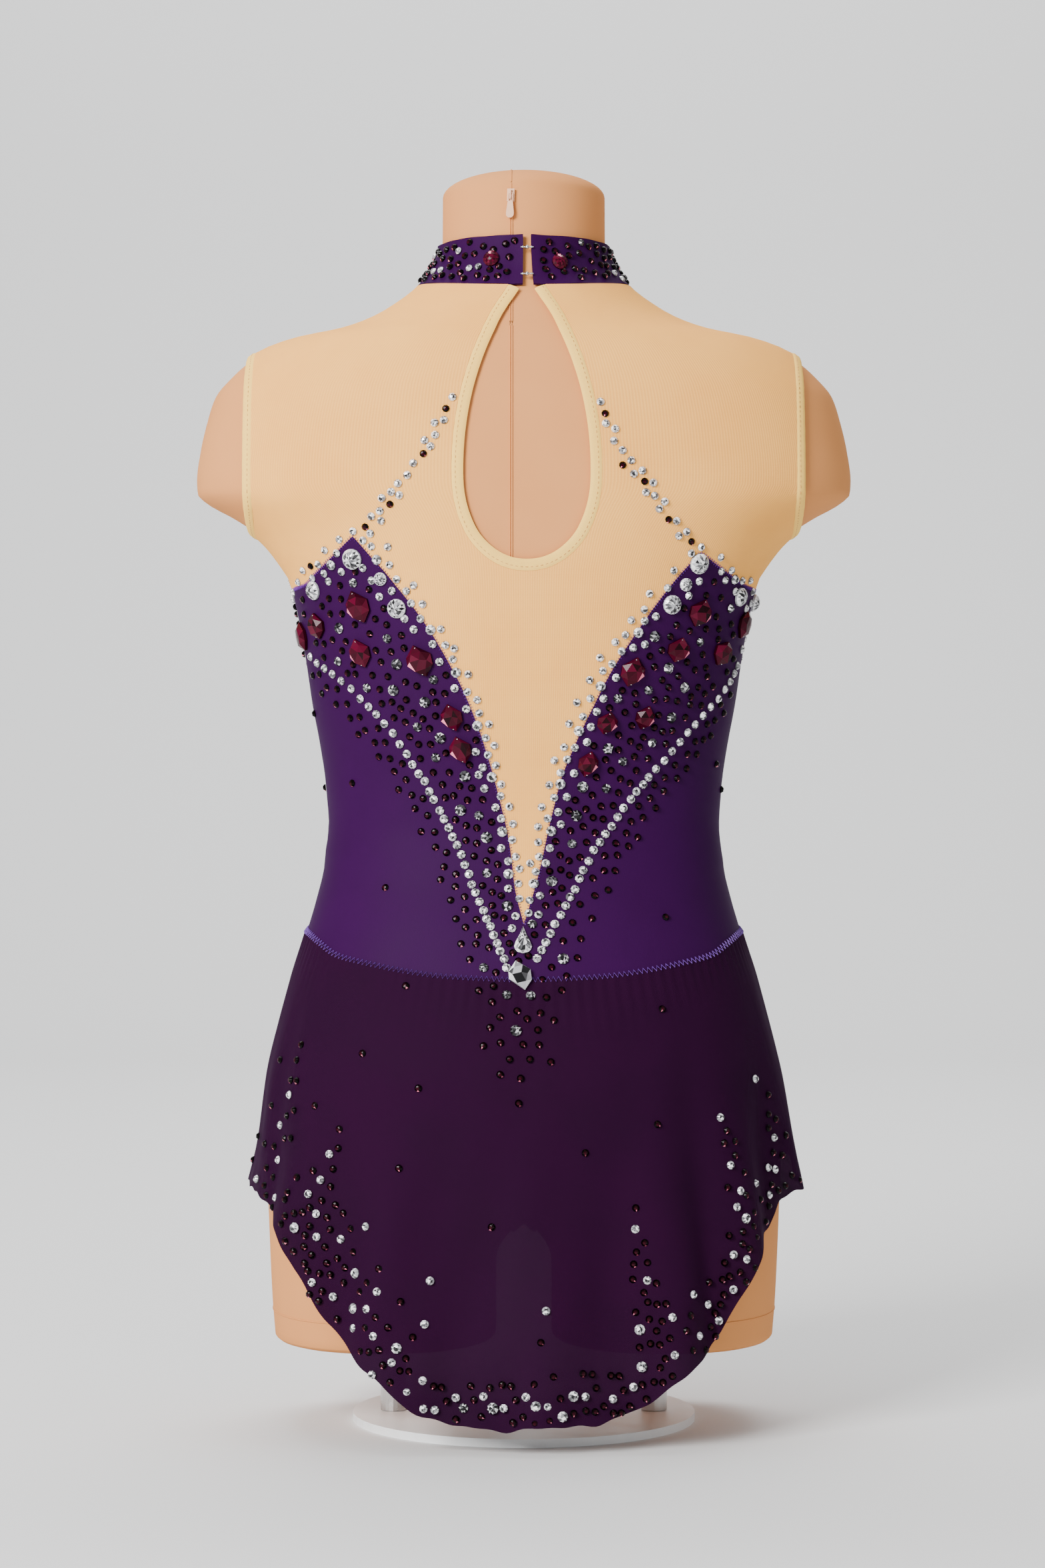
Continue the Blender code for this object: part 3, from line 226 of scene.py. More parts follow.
@dataclass
class Figure(Surface):
    """The dress form's body: half widths and depths at each height."""

    outline_rows: Sequence[Row] = (
        (0.050, 0.1520), (0.076, 0.1540), (0.124, 0.1560), (0.158, 0.1570), (0.187, 0.1555), (0.214, 0.1515),
        (0.240, 0.1455), (0.269, 0.1385), (0.298, 0.1305), (0.317, 0.1250), (0.341, 0.1195), (0.365, 0.1175),
        (0.3895, 0.1190), (0.414, 0.1225), (0.438, 0.1270), (0.462, 0.1305), (0.486, 0.1345), (0.500, 0.1375),
        (0.515, 0.1415), (0.5245, 0.1475), (0.532, 0.1530), (0.539, 0.1590), (0.546, 0.1680), (0.5535, 0.1800),
        (0.5605, 0.1930), (0.567, 0.2000), (0.575, 0.2005), (0.594, 0.1980), (0.611, 0.1940), (0.626, 0.1890),
        (0.638, 0.1790), (0.645, 0.1715), (0.651, 0.1630), (0.655, 0.1545), (0.659, 0.1420), (0.664, 0.1170),
        (0.669, 0.1010), (0.675, 0.0880), (0.681, 0.0785), (0.690, 0.0665), (0.699, 0.0585), (0.708, 0.0530),
        (0.718, 0.0500), (0.750, 0.0499),
    )
    profile_rows: Sequence[Row] = (
        (0.050, 0.084, 0.082, 0.000, 2.3), (0.100, 0.092, 0.084, -0.002, 2.3), (0.130, 0.100, 0.086, -0.004, 2.3),
        (0.170, 0.107, 0.088, -0.005, 2.3), (0.200, 0.107, 0.089, -0.005, 2.3), (0.250, 0.099, 0.089, -0.004, 2.3),
        (0.300, 0.086, 0.086, -0.002, 2.3), (0.340, 0.075, 0.081, 0.001, 2.3), (0.365, 0.072, 0.080, 0.002, 2.3),
        (0.390, 0.073, 0.083, 0.002, 2.3), (0.420, 0.077, 0.090, 0.001, 2.3), (0.460, 0.083, 0.104, 0.000, 2.3),
        (0.500, 0.089, 0.113, 0.000, 2.3), (0.530, 0.091, 0.108, 0.000, 2.3), (0.567, 0.090, 0.097, -0.002, 2.2),
        (0.600, 0.087, 0.085, -0.003, 2.2), (0.637, 0.079, 0.072, -0.004, 2.1), (0.659, 0.0715, 0.064, -0.004, 2.0),
        (0.681, 0.062, 0.056, -0.002, 2.0), (0.700, 0.054, 0.052, 0.000, 2.0), (0.750, 0.049, 0.049, 0.006, 2.0),
    )
    outline: Track = field(init=False)
    profile: Track = field(init=False)
    rises: Places = field(init=False)
    runs: Places = field(init=False)

    def __post_init__(self) -> None:
        """Make the tables and the lengths down the figure."""
        self.outline = Track(self.outline_rows)
        self.profile = Track(self.profile_rows)
        self.rises = np.arange(0.05, NECK_EDGE + 0.002, 0.001)
        slope = np.diff(self.width(self.rises)) / 0.001
        self.runs = np.concatenate([[0.0], np.cumsum(0.001 * np.sqrt(1 + 0.45 * slope**2))])

    def width(self, height: Places) -> Places:
        """Half width at the heights."""
        return self.outline.at(height)[:, 0]

    def point(self, turn: Places, height: Places) -> Places:
        """Points of the body's skin."""
        back, front, side_y, square = self.profile.at(height).T
        return ring_points(turn, self.width(height), back, front, side_y, square, height)

    def turn_at(self, x: Places, height: Places) -> Places:
        """Turns of the back's points at those x.

        Args:
            x: distances to the right.
            height: heights.

        Returns:
            Turns, negative on the left.
        """
        x = np.atleast_1d(np.asarray(x, float))
        square = self.profile.at(height)[:, 3]
        share = np.clip(np.abs(x) / self.width(height), 0.0, 1 - 1e-9) ** square
        return np.sign(x) * np.arctan((share / (1 - share)) ** (1 / square))

    def radius(self, height: Places) -> Places:
        """Mean radius of the plan at the heights."""
        back, front, _, _ = self.profile.at(height).T
        return (self.width(height) + (back + front) / 2) / 2

    def plan(self, places: Places, centre: float) -> Places:
        """Flat places in which lengths are near to those on the skin.

        Args:
            places: turns and heights.
            centre: the turn that stays at zero.

        Returns:
            Flat places, one a row.
        """
        run = np.interp(places[:, 1], self.rises, self.runs)
        return np.stack([(places[:, 0] - centre) * self.radius(places[:, 1]), run], 1)

    def unplan(self, flat: Places, centre: float) -> Places:
        """Turns and heights of flat places."""
        height = np.interp(flat[:, 1], self.runs, self.rises)
        return np.stack([centre + flat[:, 0] / self.radius(height), height], 1)


FIGURE = Figure()
WAIST = Track((
    (0, 0.2732), (11, 0.2741), (20, 0.2753), (30, 0.2782), (40, 0.2819), (52, 0.2864), (61, 0.2926),
    (74, 0.2981), (90, 0.3000), (120, 0.2950), (150, 0.2885), (180, 0.2865),
))
HEM = Track((
    (-90, 0.1465), (-80, 0.1455), (-70, 0.1430), (-65, 0.1400), (-60, 0.1330), (-55, 0.1250), (-50, 0.1125),
    (-46, 0.1010), (-42, 0.0820), (-38, 0.0700), (-34, 0.0600), (-30, 0.0500), (-25, 0.0370), (-20, 0.0255),
    (-15, 0.0190), (-9, 0.0160), (-3, 0.0158), (3, 0.0168), (8, 0.0176), (14, 0.0190), (20, 0.0238), (25, 0.0350),
    (30, 0.0470), (35, 0.0550), (38, 0.0630), (41, 0.0790), (44, 0.0910), (48, 0.1060), (52, 0.1180), (57, 0.1270),
    (62, 0.1360), (68, 0.1430), (76, 0.1460), (90, 0.1470), (110, 0.1600), (140, 0.1680), (180, 0.1700), (220, 0.1680),
    (250, 0.1590), (270, 0.1465),
))
V_EDGE = (
    (0.0000, 0.3056), (0.0027, 0.3142), (0.0066, 0.3270), (0.0110, 0.3449), (0.0149, 0.3638), (0.0187, 0.3794),
    (0.0224, 0.3939), (0.0314, 0.4160), (0.0415, 0.4370), (0.0489, 0.4520), (0.0563, 0.4646), (0.0645, 0.4773),
    (0.0731, 0.4900), (0.0825, 0.5027), (0.0945, 0.5175), (0.1037, 0.5279),
)
V_EDGE_LEFT = (
    (0.0000, 0.3056), (0.0050, 0.3250), (0.0073, 0.3440), (0.0100, 0.3616), (0.0163, 0.3879), (0.0212, 0.4058),
    (0.0279, 0.4263), (0.0353, 0.4445), (0.0427, 0.4590), (0.0508, 0.4735), (0.0570, 0.4834), (0.0656, 0.4955),
    (0.0778, 0.5108), (0.0892, 0.5240), (0.1008, 0.5372),
)
PEAK_EDGE = (
    (0.1037, 0.5279), (0.1134, 0.5216), (0.1211, 0.5164), (0.1289, 0.5112), (0.1350, 0.5088),
)
PEAK_EDGE_LEFT = (
    (0.1008, 0.5372), (0.1079, 0.5307), (0.1155, 0.5238), (0.1232, 0.5169), (0.1310, 0.5099),
)
KEYHOLE = (
    (0.0108, 0.6869), (0.0212, 0.6700), (0.0300, 0.6510), (0.0364, 0.6326), (0.0406, 0.6155),
    (0.0434, 0.5970), (0.0445, 0.5780), (0.0438, 0.5617), (0.0402, 0.5469), (0.0336, 0.5335),
    (0.0236, 0.5232), (0.0122, 0.5172), (0.0000, 0.5154),
)


def waist(turn: Places) -> Places:
    """Height of the waist seam."""
    folded = np.abs((np.degrees(turn) + 180) % 360 - 180)
    return WAIST.at(folded)[:, 0]


def hem(turn: Places) -> Places:
    """Height of the skirt's hem."""
    return HEM.at((np.degrees(turn) + 90) % 360 - 90)[:, 0]


def collar_base(turn: Places) -> Places:
    """Height of the collar's lower edge."""
    return COLLAR_BACK + COLLAR_SIDE_RISE * np.sin(turn) ** 2


def leg_line(turn: Places) -> Places:
    """Height of the leg openings, level over the gusset."""
    narrow = math.sin(math.pi / 18)
    return LEG_CENTRE + (LEG_SIDE - LEG_CENTRE) * smooth((np.abs(np.sin(turn)) - narrow) / (1 - narrow))


def bodice_front_top(turn: Places) -> Places:
    """Height of the front bodice's top edge."""
    return BODICE_SIDE + BODICE_FRONT_RISE * np.cos(turn) ** 2


def spaced(dense: Places, step: float) -> Places:
    """Places spaced evenly along a dense line on the skin.

    Args:
        dense: turns and heights.
        step: wanted distance between places.

    Returns:
        Turns and heights, both ends kept.
    """
    spots = FIGURE.point(dense[:, 0], dense[:, 1])
    reach = np.concatenate([[0.0], np.cumsum(np.linalg.norm(np.diff(spots, axis=0), axis=1))])
    count = max(1, round(reach[-1] / step))
    goals = np.linspace(0, reach[-1], count + 1)
    return np.stack([np.interp(goals, reach, dense[:, k]) for k in range(2)], 1)


def curved(points: Places) -> Places:
    """A dense smooth line through the points."""
    ends = np.concatenate([points[:1], points, points[-1:]])
    dense = []
    for p0, p1, p2, p3 in zip(ends, ends[1:], ends[2:], ends[3:]):
        for t in np.arange(0, 1, 1 / 12):
            dense.append(0.5 * (2 * p1 + (p2 - p0) * t + (2 * p0 - 5 * p1 + 4 * p2 - p3) * t**2
                                + (3 * p1 - p0 - 3 * p2 + p3) * t**3))
    dense.append(points[-1])
    return np.array(dense)


def through(points: Places, step: float) -> Places:
    """A smooth line through turns and heights, evenly spaced on the skin."""
    return spaced(curved(points), step)


def on_back(rows: Sequence[Row], shift: float = 0.0) -> Places:
    """Turns and heights of x and height rows on the back."""
    table = np.array(rows, float)
    return np.stack([FIGURE.turn_at(table[:, 0] + shift, table[:, 1]), table[:, 1]], 1)


def level_line(height_of: Callable[[Places], Places], start: float, end: float, step: float = EDGE_STEP) -> Places:
    """A line round the figure at heights worked out from the turn."""
    turn = np.linspace(start, end, 200)
    return spaced(np.stack([turn, height_of(turn)], 1), step)


def upright(low: float, high: float) -> Places:
    """The side seam between two heights."""
    height = np.linspace(low, high, 60)
    return spaced(np.stack([np.full(60, math.pi / 2), height], 1), EDGE_STEP)


def mirrored(line: Places) -> Places:
    """The same line on the left."""
    return line * (-1, 1)


def on_front(line: Places) -> Places:
    """The same line on the front, right side."""
    return np.stack([math.pi - line[:, 0], line[:, 1]], 1)


def joined(*lines: Places) -> Places:
    """One border from lines that each start where the last one ends."""
    return np.concatenate([line[:-1] for line in lines])


def inset(line: Places, distance: float, closed: bool = True) -> Places:
    """Move a line to its left along the skin.

    Args:
        line: turns and heights.
        distance: how far.
        closed: whether the line's ends meet.

    Returns:
        The moved line.
    """
    spots = FIGURE.point(line[:, 0], line[:, 1])
    by_turn, by_height = FIGURE.slants(line[:, 0], line[:, 1])
    out = unit(np.cross(by_turn, by_height))
    after = np.roll(spots, -1, 0) - spots
    before = spots - np.roll(spots, 1, 0)
    if not closed:
        after[-1] = before[-1]
        before[0] = after[0]
    one = unit(np.cross(out, before))
    two = unit(np.cross(out, after))
    way = (one + two) / np.maximum(1 + (one * two).sum(1, keepdims=True), 0.06)
    return walk(line, way * distance, by_turn, by_height)


def walk(places: Places, move: Places, by_turn: Places, by_height: Places) -> Places:
    """Places moved by short steps given in space."""
    tt = (by_turn * by_turn).sum(1)
    th = (by_turn * by_height).sum(1)
    hh = (by_height * by_height).sum(1)
    mt = (move * by_turn).sum(1)
    mh = (move * by_height).sum(1)
    det = tt * hh - th * th
    return places + np.stack([(mt * hh - mh * th) / det, (mh * tt - mt * th) / det], 1)


def armhole_line() -> Places:
    """Back half of the right armhole, from the underarm up to the shoulder."""
    count = 121
    ends = []
    for levels in (np.linspace(0.52, 0.56, 4001), np.linspace(0.64, 0.66, 4001)):
        ends.append(levels[np.argmin(np.abs(FIGURE.width(levels) - ARMHOLE_X))])
    low, high = ends
    height = low + (high - low) * (1 - np.cos(np.linspace(0, math.pi, count))) / 2
    turn = FIGURE.turn_at(np.full(count, ARMHOLE_X), height)
    turn[0] = math.pi / 2
    turn[-1] = math.pi / 2
    return spaced(np.stack([turn, height], 1), EDGE_STEP)


def keyhole_line() -> Places:
    """Outer edge of the drop-shaped opening, from its right top round to its left top."""
    left = [(-x, height) for x, height in KEYHOLE[-2::-1]]
    line = spaced(on_back(curved(np.array([*KEYHOLE, *left])), OPENING_X), EDGE_STEP)
    line[0, 1] = collar_base(line[:1, 0])[0]
    line[-1, 1] = collar_base(line[-1:, 0])[0]
    return line


def crease_height(turn: Places, height: Places, rows: Sequence[Row]) -> Places:
    """Soft ridges and troughs pressed into cloth.

    Args:
        turn: turns about Z.
        height: heights.
        rows: turn in degrees, height, half length, tilt in degrees, half width and depth of each crease.

    Returns:
        Heights above the plain cloth.
    """
    total = np.zeros(len(turn))
    for degrees, level, length, tilt, width, depth in rows:
        across = (np.mod(turn - math.radians(degrees) + math.pi, math.tau) - math.pi) * RADIUS
        up = height - level
        angle = math.radians(tilt)
        along = across * math.cos(angle) + up * math.sin(angle)
        side = up * math.cos(angle) - across * math.sin(angle)
        side = side + 0.12 * along**2 / max(length, 1e-6)
        total += depth * np.exp(-((along / length) ** 2) - (side / width) ** 2)
    return total


BODY_CREASES = (
    (-78, 0.350, 0.030, 8, 0.0055, 0.00055), (-74, 0.372, 0.034, 4, 0.0060, -0.00050),
    (-60, 0.338, 0.026, -10, 0.0050, 0.00045), (76, 0.346, 0.030, -8, 0.0055, 0.00055),
    (70, 0.370, 0.030, -3, 0.0060, -0.00045), (58, 0.332, 0.024, 10, 0.0050, 0.00040),
    (-74, 0.520, 0.026, 48, 0.0045, 0.00050), (74, 0.520, 0.026, -48, 0.0045, 0.00050),
    (-66, 0.548, 0.030, 40, 0.0050, -0.00040), (66, 0.548, 0.030, -40, 0.0050, -0.00040),
    (104, 0.350, 0.030, -6, 0.0055, 0.00050), (110, 0.372, 0.030, 2, 0.0060, -0.00045),
    (256, 0.352, 0.030, 6, 0.0055, 0.00050), (250, 0.374, 0.030, -2, 0.0060, -0.00045),
    (180, 0.420, 0.040, 0, 0.0090, -0.00035), (106, 0.530, 0.026, 44, 0.0050, 0.00045),
    (254, 0.530, 0.026, -44, 0.0050, 0.00045),
)


@dataclass
class SkirtSurface(Surface):
    """The skirt's inner face, which leaves the body below the waist seam."""

    size_rows: Sequence[Row] = (
        (0.0000, 0.1840, 0.1340, 0.1180, -0.004), (0.0500, 0.1790, 0.1290, 0.1150, -0.004),
        (0.1000, 0.1735, 0.1230, 0.1110, -0.004), (0.1416, 0.1680, 0.1190, 0.1060, -0.005),
        (0.1690, 0.1625, 0.1165, 0.1020, -0.005), (0.2134, 0.1568, 0.1120, 0.0975, -0.005),
        (0.2450, 0.1495, 0.1055, 0.0965, -0.004), (0.2710, 0.1425, 0.0990, 0.0950, -0.003),
        (0.2953, 0.1360, 0.0930, 0.0920, -0.002), (0.3100, 0.1325, 0.0890, 0.0890, -0.001),
    )
    fold_rows: Sequence[Row] = (
        (-62, 6, -0.0045), (-50, 7, 0.0050), (-36, 5, -0.0050), (-27, 7, 0.0045), (-12, 8, -0.0035), (3, 8, 0.0030),
        (17, 7, -0.0040), (29, 6, 0.0055), (37, 4, -0.0050), (46, 6, 0.0050), (60, 7, -0.0045), (74, 7, 0.0040),
        (108, 8, 0.0040), (128, 8, -0.0040), (150, 9, 0.0045), (176, 9, -0.0040), (200, 9, 0.0045),
        (226, 8, -0.0040), (248, 8, 0.0040),
    )
    sizes: Track = field(init=False)

    def __post_init__(self) -> None:
        """Make the table of sizes."""
        self.sizes = Track(self.size_rows)

    def folds(self, turn: Places) -> Places:
        """Height of the hanging folds at the hem."""
        total = np.zeros(len(turn))
        for degrees, width, height in self.fold_rows:
            away = (np.degrees(turn) - degrees + 180) % 360 - 180
            total += height * np.exp(-((away / width) ** 2))
        return total

    def point(self, turn: Places, height: Places) -> Places:
        """Points of the skirt's inner face."""
        turn = np.asarray(turn, float)
        height = np.asarray(height, float)
        top = waist(turn)
        half, back, front, side_y = self.sizes.at(height).T
        free = ring_points(turn, half, back, front, side_y, np.full(len(turn), 2.3), height)
        down = (top - height) / np.maximum(top - hem(turn), 0.01)
        out = np.stack([np.sin(turn), -np.cos(turn), np.zeros(len(turn))], 1)
        push = self.folds(turn) * smooth(down) * np.minimum(1.0, (top - height) / 0.13)
        free = free + out * push[:, None]
        close = FIGURE.lifted(turn, height, SKIRT_UNDER)
        share = smooth((top - height) / SKIRT_BLEND)[:, None]
        return close + (free - close) * share


SKIRT = SkirtSurface()


class Cut(Enum):
    """Outline of a stone."""

    ROUND = "round"
    COSMIC = "cosmic"
    PEAR = "pear"


class Stone(Enum):
    """Colour of a stone."""

    CLEAR = "clear"
    SMOKE = "smoke"
    GARNET = "garnet"


def socket(group: bpy.types.NodeTree, name: str, kind: str, inward: bool, value: float | None = None) -> None:
    """Add a named socket to a shader group.

    Args:
        group: the group.
        name: the socket's name.
        kind: its type, such as NodeSocketFloat.
        inward: whether it is an input.
        value: the input's usual value.
    """
    made = group.interface.new_socket(name, in_out="INPUT" if inward else "OUTPUT", socket_type=kind)
    if value is not None:
        made.default_value = value


def math_node(tree: bpy.types.NodeTree, operation: str, *values: bpy.types.NodeSocket | float) -> bpy.types.NodeSocket:
    """A Math node fed by sockets or numbers.

    Args:
        tree: where it is made.
        operation: what it does.
        values: its inputs, in their order.

    Returns:
        Its output.
    """
    node = tree.nodes.new("ShaderNodeMath")
    node.operation = operation
    for i, value in enumerate(values):
        if isinstance(value, bpy.types.NodeSocket):
            tree.links.new(value, node.inputs[i])
        else:
            node.inputs[i].default_value = value
    return node.outputs[0]


def knit_group() -> bpy.types.NodeTree:
    """Rows and wales of a fine knit on the cloth's own map, as one height."""
    made = bpy.data.node_groups.get("FineKnit")
    if made:
        return made
    group = bpy.data.node_groups.new("FineKnit", "ShaderNodeTree")
    socket(group, "Wale pitch", "NodeSocketFloat", True, 0.001)
    socket(group, "Row pitch", "NodeSocketFloat", True, 0.001)
    socket(group, "Height", "NodeSocketFloat", False)
    socket(group, "Wales", "NodeSocketFloat", False)
    inward = group.nodes.new("NodeGroupInput")
    outward = group.nodes.new("NodeGroupOutput")
    uv = group.nodes.new("ShaderNodeUVMap")
    uv.uv_map = CLOTH_MAP
    parts = group.nodes.new("ShaderNodeSeparateXYZ")
    group.links.new(uv.outputs[0], parts.inputs[0])
    waves = []
    for axis, pitch in ((0, inward.outputs[0]), (1, inward.outputs[1])):
        turns = math_node(group, "DIVIDE", parts.outputs[axis], pitch)
        wave = math_node(group, "SINE", math_node(group, "MULTIPLY", turns, math.tau))
        waves.append(math_node(group, "MULTIPLY_ADD", wave, 0.5, 0.5))
    half = math_node(group, "MULTIPLY_ADD", waves[1], 0.5, 0.5)
    both = math_node(group, "MULTIPLY", waves[0], half)
    group.links.new(both, outward.inputs[0])
    group.links.new(waves[0], outward.inputs[1])
    return group


def cloud_group() -> bpy.types.NodeTree:
    """Soft uneven patches over a surface, as a mask."""
    made = bpy.data.node_groups.get("SoftPatches")
    if made:
        return made
    group = bpy.data.node_groups.new("SoftPatches", "ShaderNodeTree")
    socket(group, "Scale", "NodeSocketFloat", True, 20.0)
    socket(group, "Detail", "NodeSocketFloat", True, 4.0)
    socket(group, "Mask", "NodeSocketFloat", False)
    inward = group.nodes.new("NodeGroupInput")
    outward = group.nodes.new("NodeGroupOutput")
    where = group.nodes.new("ShaderNodeTexCoord")
    noise = group.nodes.new("ShaderNodeTexNoise")
    noise.inputs["Roughness"].default_value = 0.6
    group.links.new(where.outputs["Object"], noise.inputs["Vector"])
    group.links.new(inward.outputs[0], noise.inputs["Scale"])
    group.links.new(inward.outputs[1], noise.inputs["Detail"])
    ramp = group.nodes.new("ShaderNodeMapRange")
    ramp.inputs["From Min"].default_value = 0.3
    ramp.inputs["From Max"].default_value = 0.7
    group.links.new(noise.outputs[0], ramp.inputs["Value"])
    group.links.new(ramp.outputs[0], outward.inputs[0])
    return group


def place_group(tree: bpy.types.NodeTree, group: bpy.types.NodeTree, values: dict[str, float]) -> bpy.types.Node:
    """Put a shader group in a material with its own values."""
    node = tree.nodes.new("ShaderNodeGroup")
    node.node_tree = group
    for name, value in values.items():
        node.inputs[name].default_value = value
    return node


def mix_colours(tree: bpy.types.NodeTree, mask: bpy.types.NodeSocket, low: Row, high: Row) -> bpy.types.NodeSocket:
    """A mix of two colours by a mask.

    Args:
        tree: where it is made.
        mask: 0 for the first colour and 1 for the second.
        low: first colour.
        high: second colour.

    Returns:
        The mixed colour.
    """
    node = tree.nodes.new("ShaderNodeMix")
    node.data_type = "RGBA"
    node.inputs[6].default_value = (*low, 1.0)
    node.inputs[7].default_value = (*high, 1.0)
    tree.links.new(mask, node.inputs[0])
    return node.outputs[2]


def bump(tree: bpy.types.NodeTree, shader: bpy.types.Node, height: bpy.types.NodeSocket, strength: float,
         distance: float) -> None:
    """Feed a height to the shader's normal."""
    node = tree.nodes.new("ShaderNodeBump")
    node.inputs["Strength"].default_value = strength
    node.inputs["Distance"].default_value = distance
    tree.links.new(height, node.inputs["Height"])
    tree.links.new(node.outputs[0], shader.inputs["Normal"])


def uneven_roughness(tree: bpy.types.NodeTree, shader: bpy.types.Node, mask: bpy.types.NodeSocket, low: float,
                     spread: float) -> None:
    """Feed an uneven roughness to the shader.

    Args:
        tree: where it is made.
        shader: what it feeds.
        mask: 0 for the lowest roughness and 1 for the highest.
        low: the lowest.
        spread: from the lowest to the highest.
    """
    tree.links.new(math_node(tree, "MULTIPLY_ADD", mask, spread, low), shader.inputs["Roughness"])


@dataclass(frozen=True)
class Finish:
    """A named material, made on first use, and the record's slot that it belongs to."""

    name: str
    slot: str | None

    def material(self) -> bpy.types.Material:
        """The finish's one material."""
        made = bpy.data.materials.get(self.name)
        if made is None:
            made = bpy.data.materials.new(self.name)
            made.use_nodes = True
            self.dress(made.node_tree, made.node_tree.nodes["Principled BSDF"])
        return made

    def dress(self, tree: bpy.types.NodeTree, shader: bpy.types.Node) -> None:
        """Set the shader up."""
        raise NotImplementedError


@dataclass(frozen=True)
class ClothFinish(Finish):
    """A knit or mesh cloth."""

    base: Row
    shade: Row
    roughness: float
    wale: float
    row: float
    depth: float
    rib_share: float = 0.5
    sheen: float = 0.0
    sheen_tint: Row = (1.0, 1.0, 1.0)
    alpha: float = 1.0
    patch_scale: float = 18.0

    def dress(self, tree: bpy.types.NodeTree, shader: bpy.types.Node) -> None:
        """Set up the knit's relief, its soft patches and its sheen."""
        knit = place_group(tree, knit_group(), {"Wale pitch": self.wale, "Row pitch": self.row})
        cloud = place_group(tree, cloud_group(), {"Scale": self.patch_scale, "Detail": 3.0})
        soft = math_node(tree, "MULTIPLY", cloud.outputs[0], 1 - self.rib_share)
        ribs = math_node(tree, "MULTIPLY", knit.outputs["Wales"], self.rib_share)
        mask = math_node(tree, "ADD", soft, ribs)
        tree.links.new(mix_colours(tree, mask, self.shade, self.base), shader.inputs["Base Color"])
        uneven_roughness(tree, shader, cloud.outputs[0], self.roughness - 0.04, 0.08)
        bump(tree, shader, knit.outputs["Height"], 0.6, self.depth)
        shader.inputs["Sheen Weight"].default_value = self.sheen
        shader.inputs["Sheen Roughness"].default_value = 0.45
        shader.inputs["Sheen Tint"].default_value = (*self.sheen_tint, 1.0)
        shader.inputs["Specular IOR Level"].default_value = 0.06
        shader.inputs["Alpha"].default_value = self.alpha


@dataclass(frozen=True)
class GemFinish(Finish):
    """A faceted stone whose facets each have their own tone, from the stone's own dark colour up to painted reflection
    and a painted glint.
    """

    # dark: a garnet's own colour, and painted dark reflection on clear stones; middle: painted reflection over the
    # stone's own colour; bright: a painted glint
    dark: Row
    middle: Row
    bright: Row
    metallic: float
    roughness: float
    shine: float

    def dress(self, tree: bpy.types.NodeTree, shader: bpy.types.Node) -> None:
        """Set up the colours for the facets' tones, painted reflections and glints among them, and the shine."""
        tone = tree.nodes.new("ShaderNodeAttribute")
        tone.attribute_name = FACET_PAINTED_LIGHT
        ramp = tree.nodes.new("ShaderNodeValToRGB")
        ramp.color_ramp.elements[0].color = (*self.dark, 1.0)
        ramp.color_ramp.elements[1].color = (*self.bright, 1.0)
        half = ramp.color_ramp.elements.new(0.5)
        half.color = (*self.middle, 1.0)
        tree.links.new(tone.outputs["Fac"], ramp.inputs[0])
        tree.links.new(ramp.outputs[0], shader.inputs["Base Color"])
        cloud = place_group(tree, cloud_group(), {"Scale": 260.0, "Detail": 2.0})
        uneven_roughness(tree, shader, cloud.outputs[0], self.roughness, 0.05)
        shader.inputs["Metallic"].default_value = self.metallic
        shader.inputs["Specular IOR Level"].default_value = self.shine


@dataclass(frozen=True)
class HardFinish(Finish):
    """Metal, paint or thread with uneven roughness."""

    base: Row
    shade: Row
    roughness: float
    metallic: float = 0.0
    scale: float = 60.0
    depth: float = 0.00002

    def dress(self, tree: bpy.types.NodeTree, shader: bpy.types.Node) -> None:
        """Set up its uneven colour, roughness and fine relief."""
        cloud = place_group(tree, cloud_group(), {"Scale": self.scale, "Detail": 5.0})
        tree.links.new(mix_colours(tree, cloud.outputs[0], self.shade, self.base), shader.inputs["Base Color"])
        uneven_roughness(tree, shader, cloud.outputs[0], self.roughness - 0.07, 0.14)
        bump(tree, shader, cloud.outputs[0], 0.3, self.depth)
        shader.inputs["Metallic"].default_value = self.metallic


KNIT = ClothFinish("PurpleKnit", "knit", (0.028, 0.0008, 0.042), (0.023, 0.0006, 0.034), roughness=0.62,
                   wale=0.00060, row=0.00050, depth=0.00004, rib_share=0.35)
NUDE = ClothFinish("NudeMesh", "nude_mesh", (0.980, 0.490, 0.115), (0.850, 0.370, 0.075), roughness=0.90,
                   wale=0.00115, row=0.00090, depth=0.00012, rib_share=0.60)
ELASTIC = ClothFinish("NudeElastic", "nude_elastic", (1.000, 0.640, 0.150), (0.930, 0.540, 0.110), roughness=0.80,
                      wale=0.00080, row=0.00080, depth=0.00006)
SKIRT_MESH = ClothFinish("PlumMesh", "skirt_mesh", (0.019, 0.0007, 0.018), (0.013, 0.0005, 0.013), roughness=0.80,
                         wale=0.00090, row=0.00090, depth=0.00004, sheen=0.02, sheen_tint=(0.45, 0.10, 0.60),
                         alpha=0.94)
COVER = ClothFinish("FormCover", "form_cover", (0.680, 0.290, 0.100), (0.620, 0.250, 0.082), roughness=0.90,
                    wale=0.00050, row=0.00050, depth=0.00002, rib_share=0.20, sheen_tint=(1.0, 0.80, 0.65),
                    patch_scale=9.0)
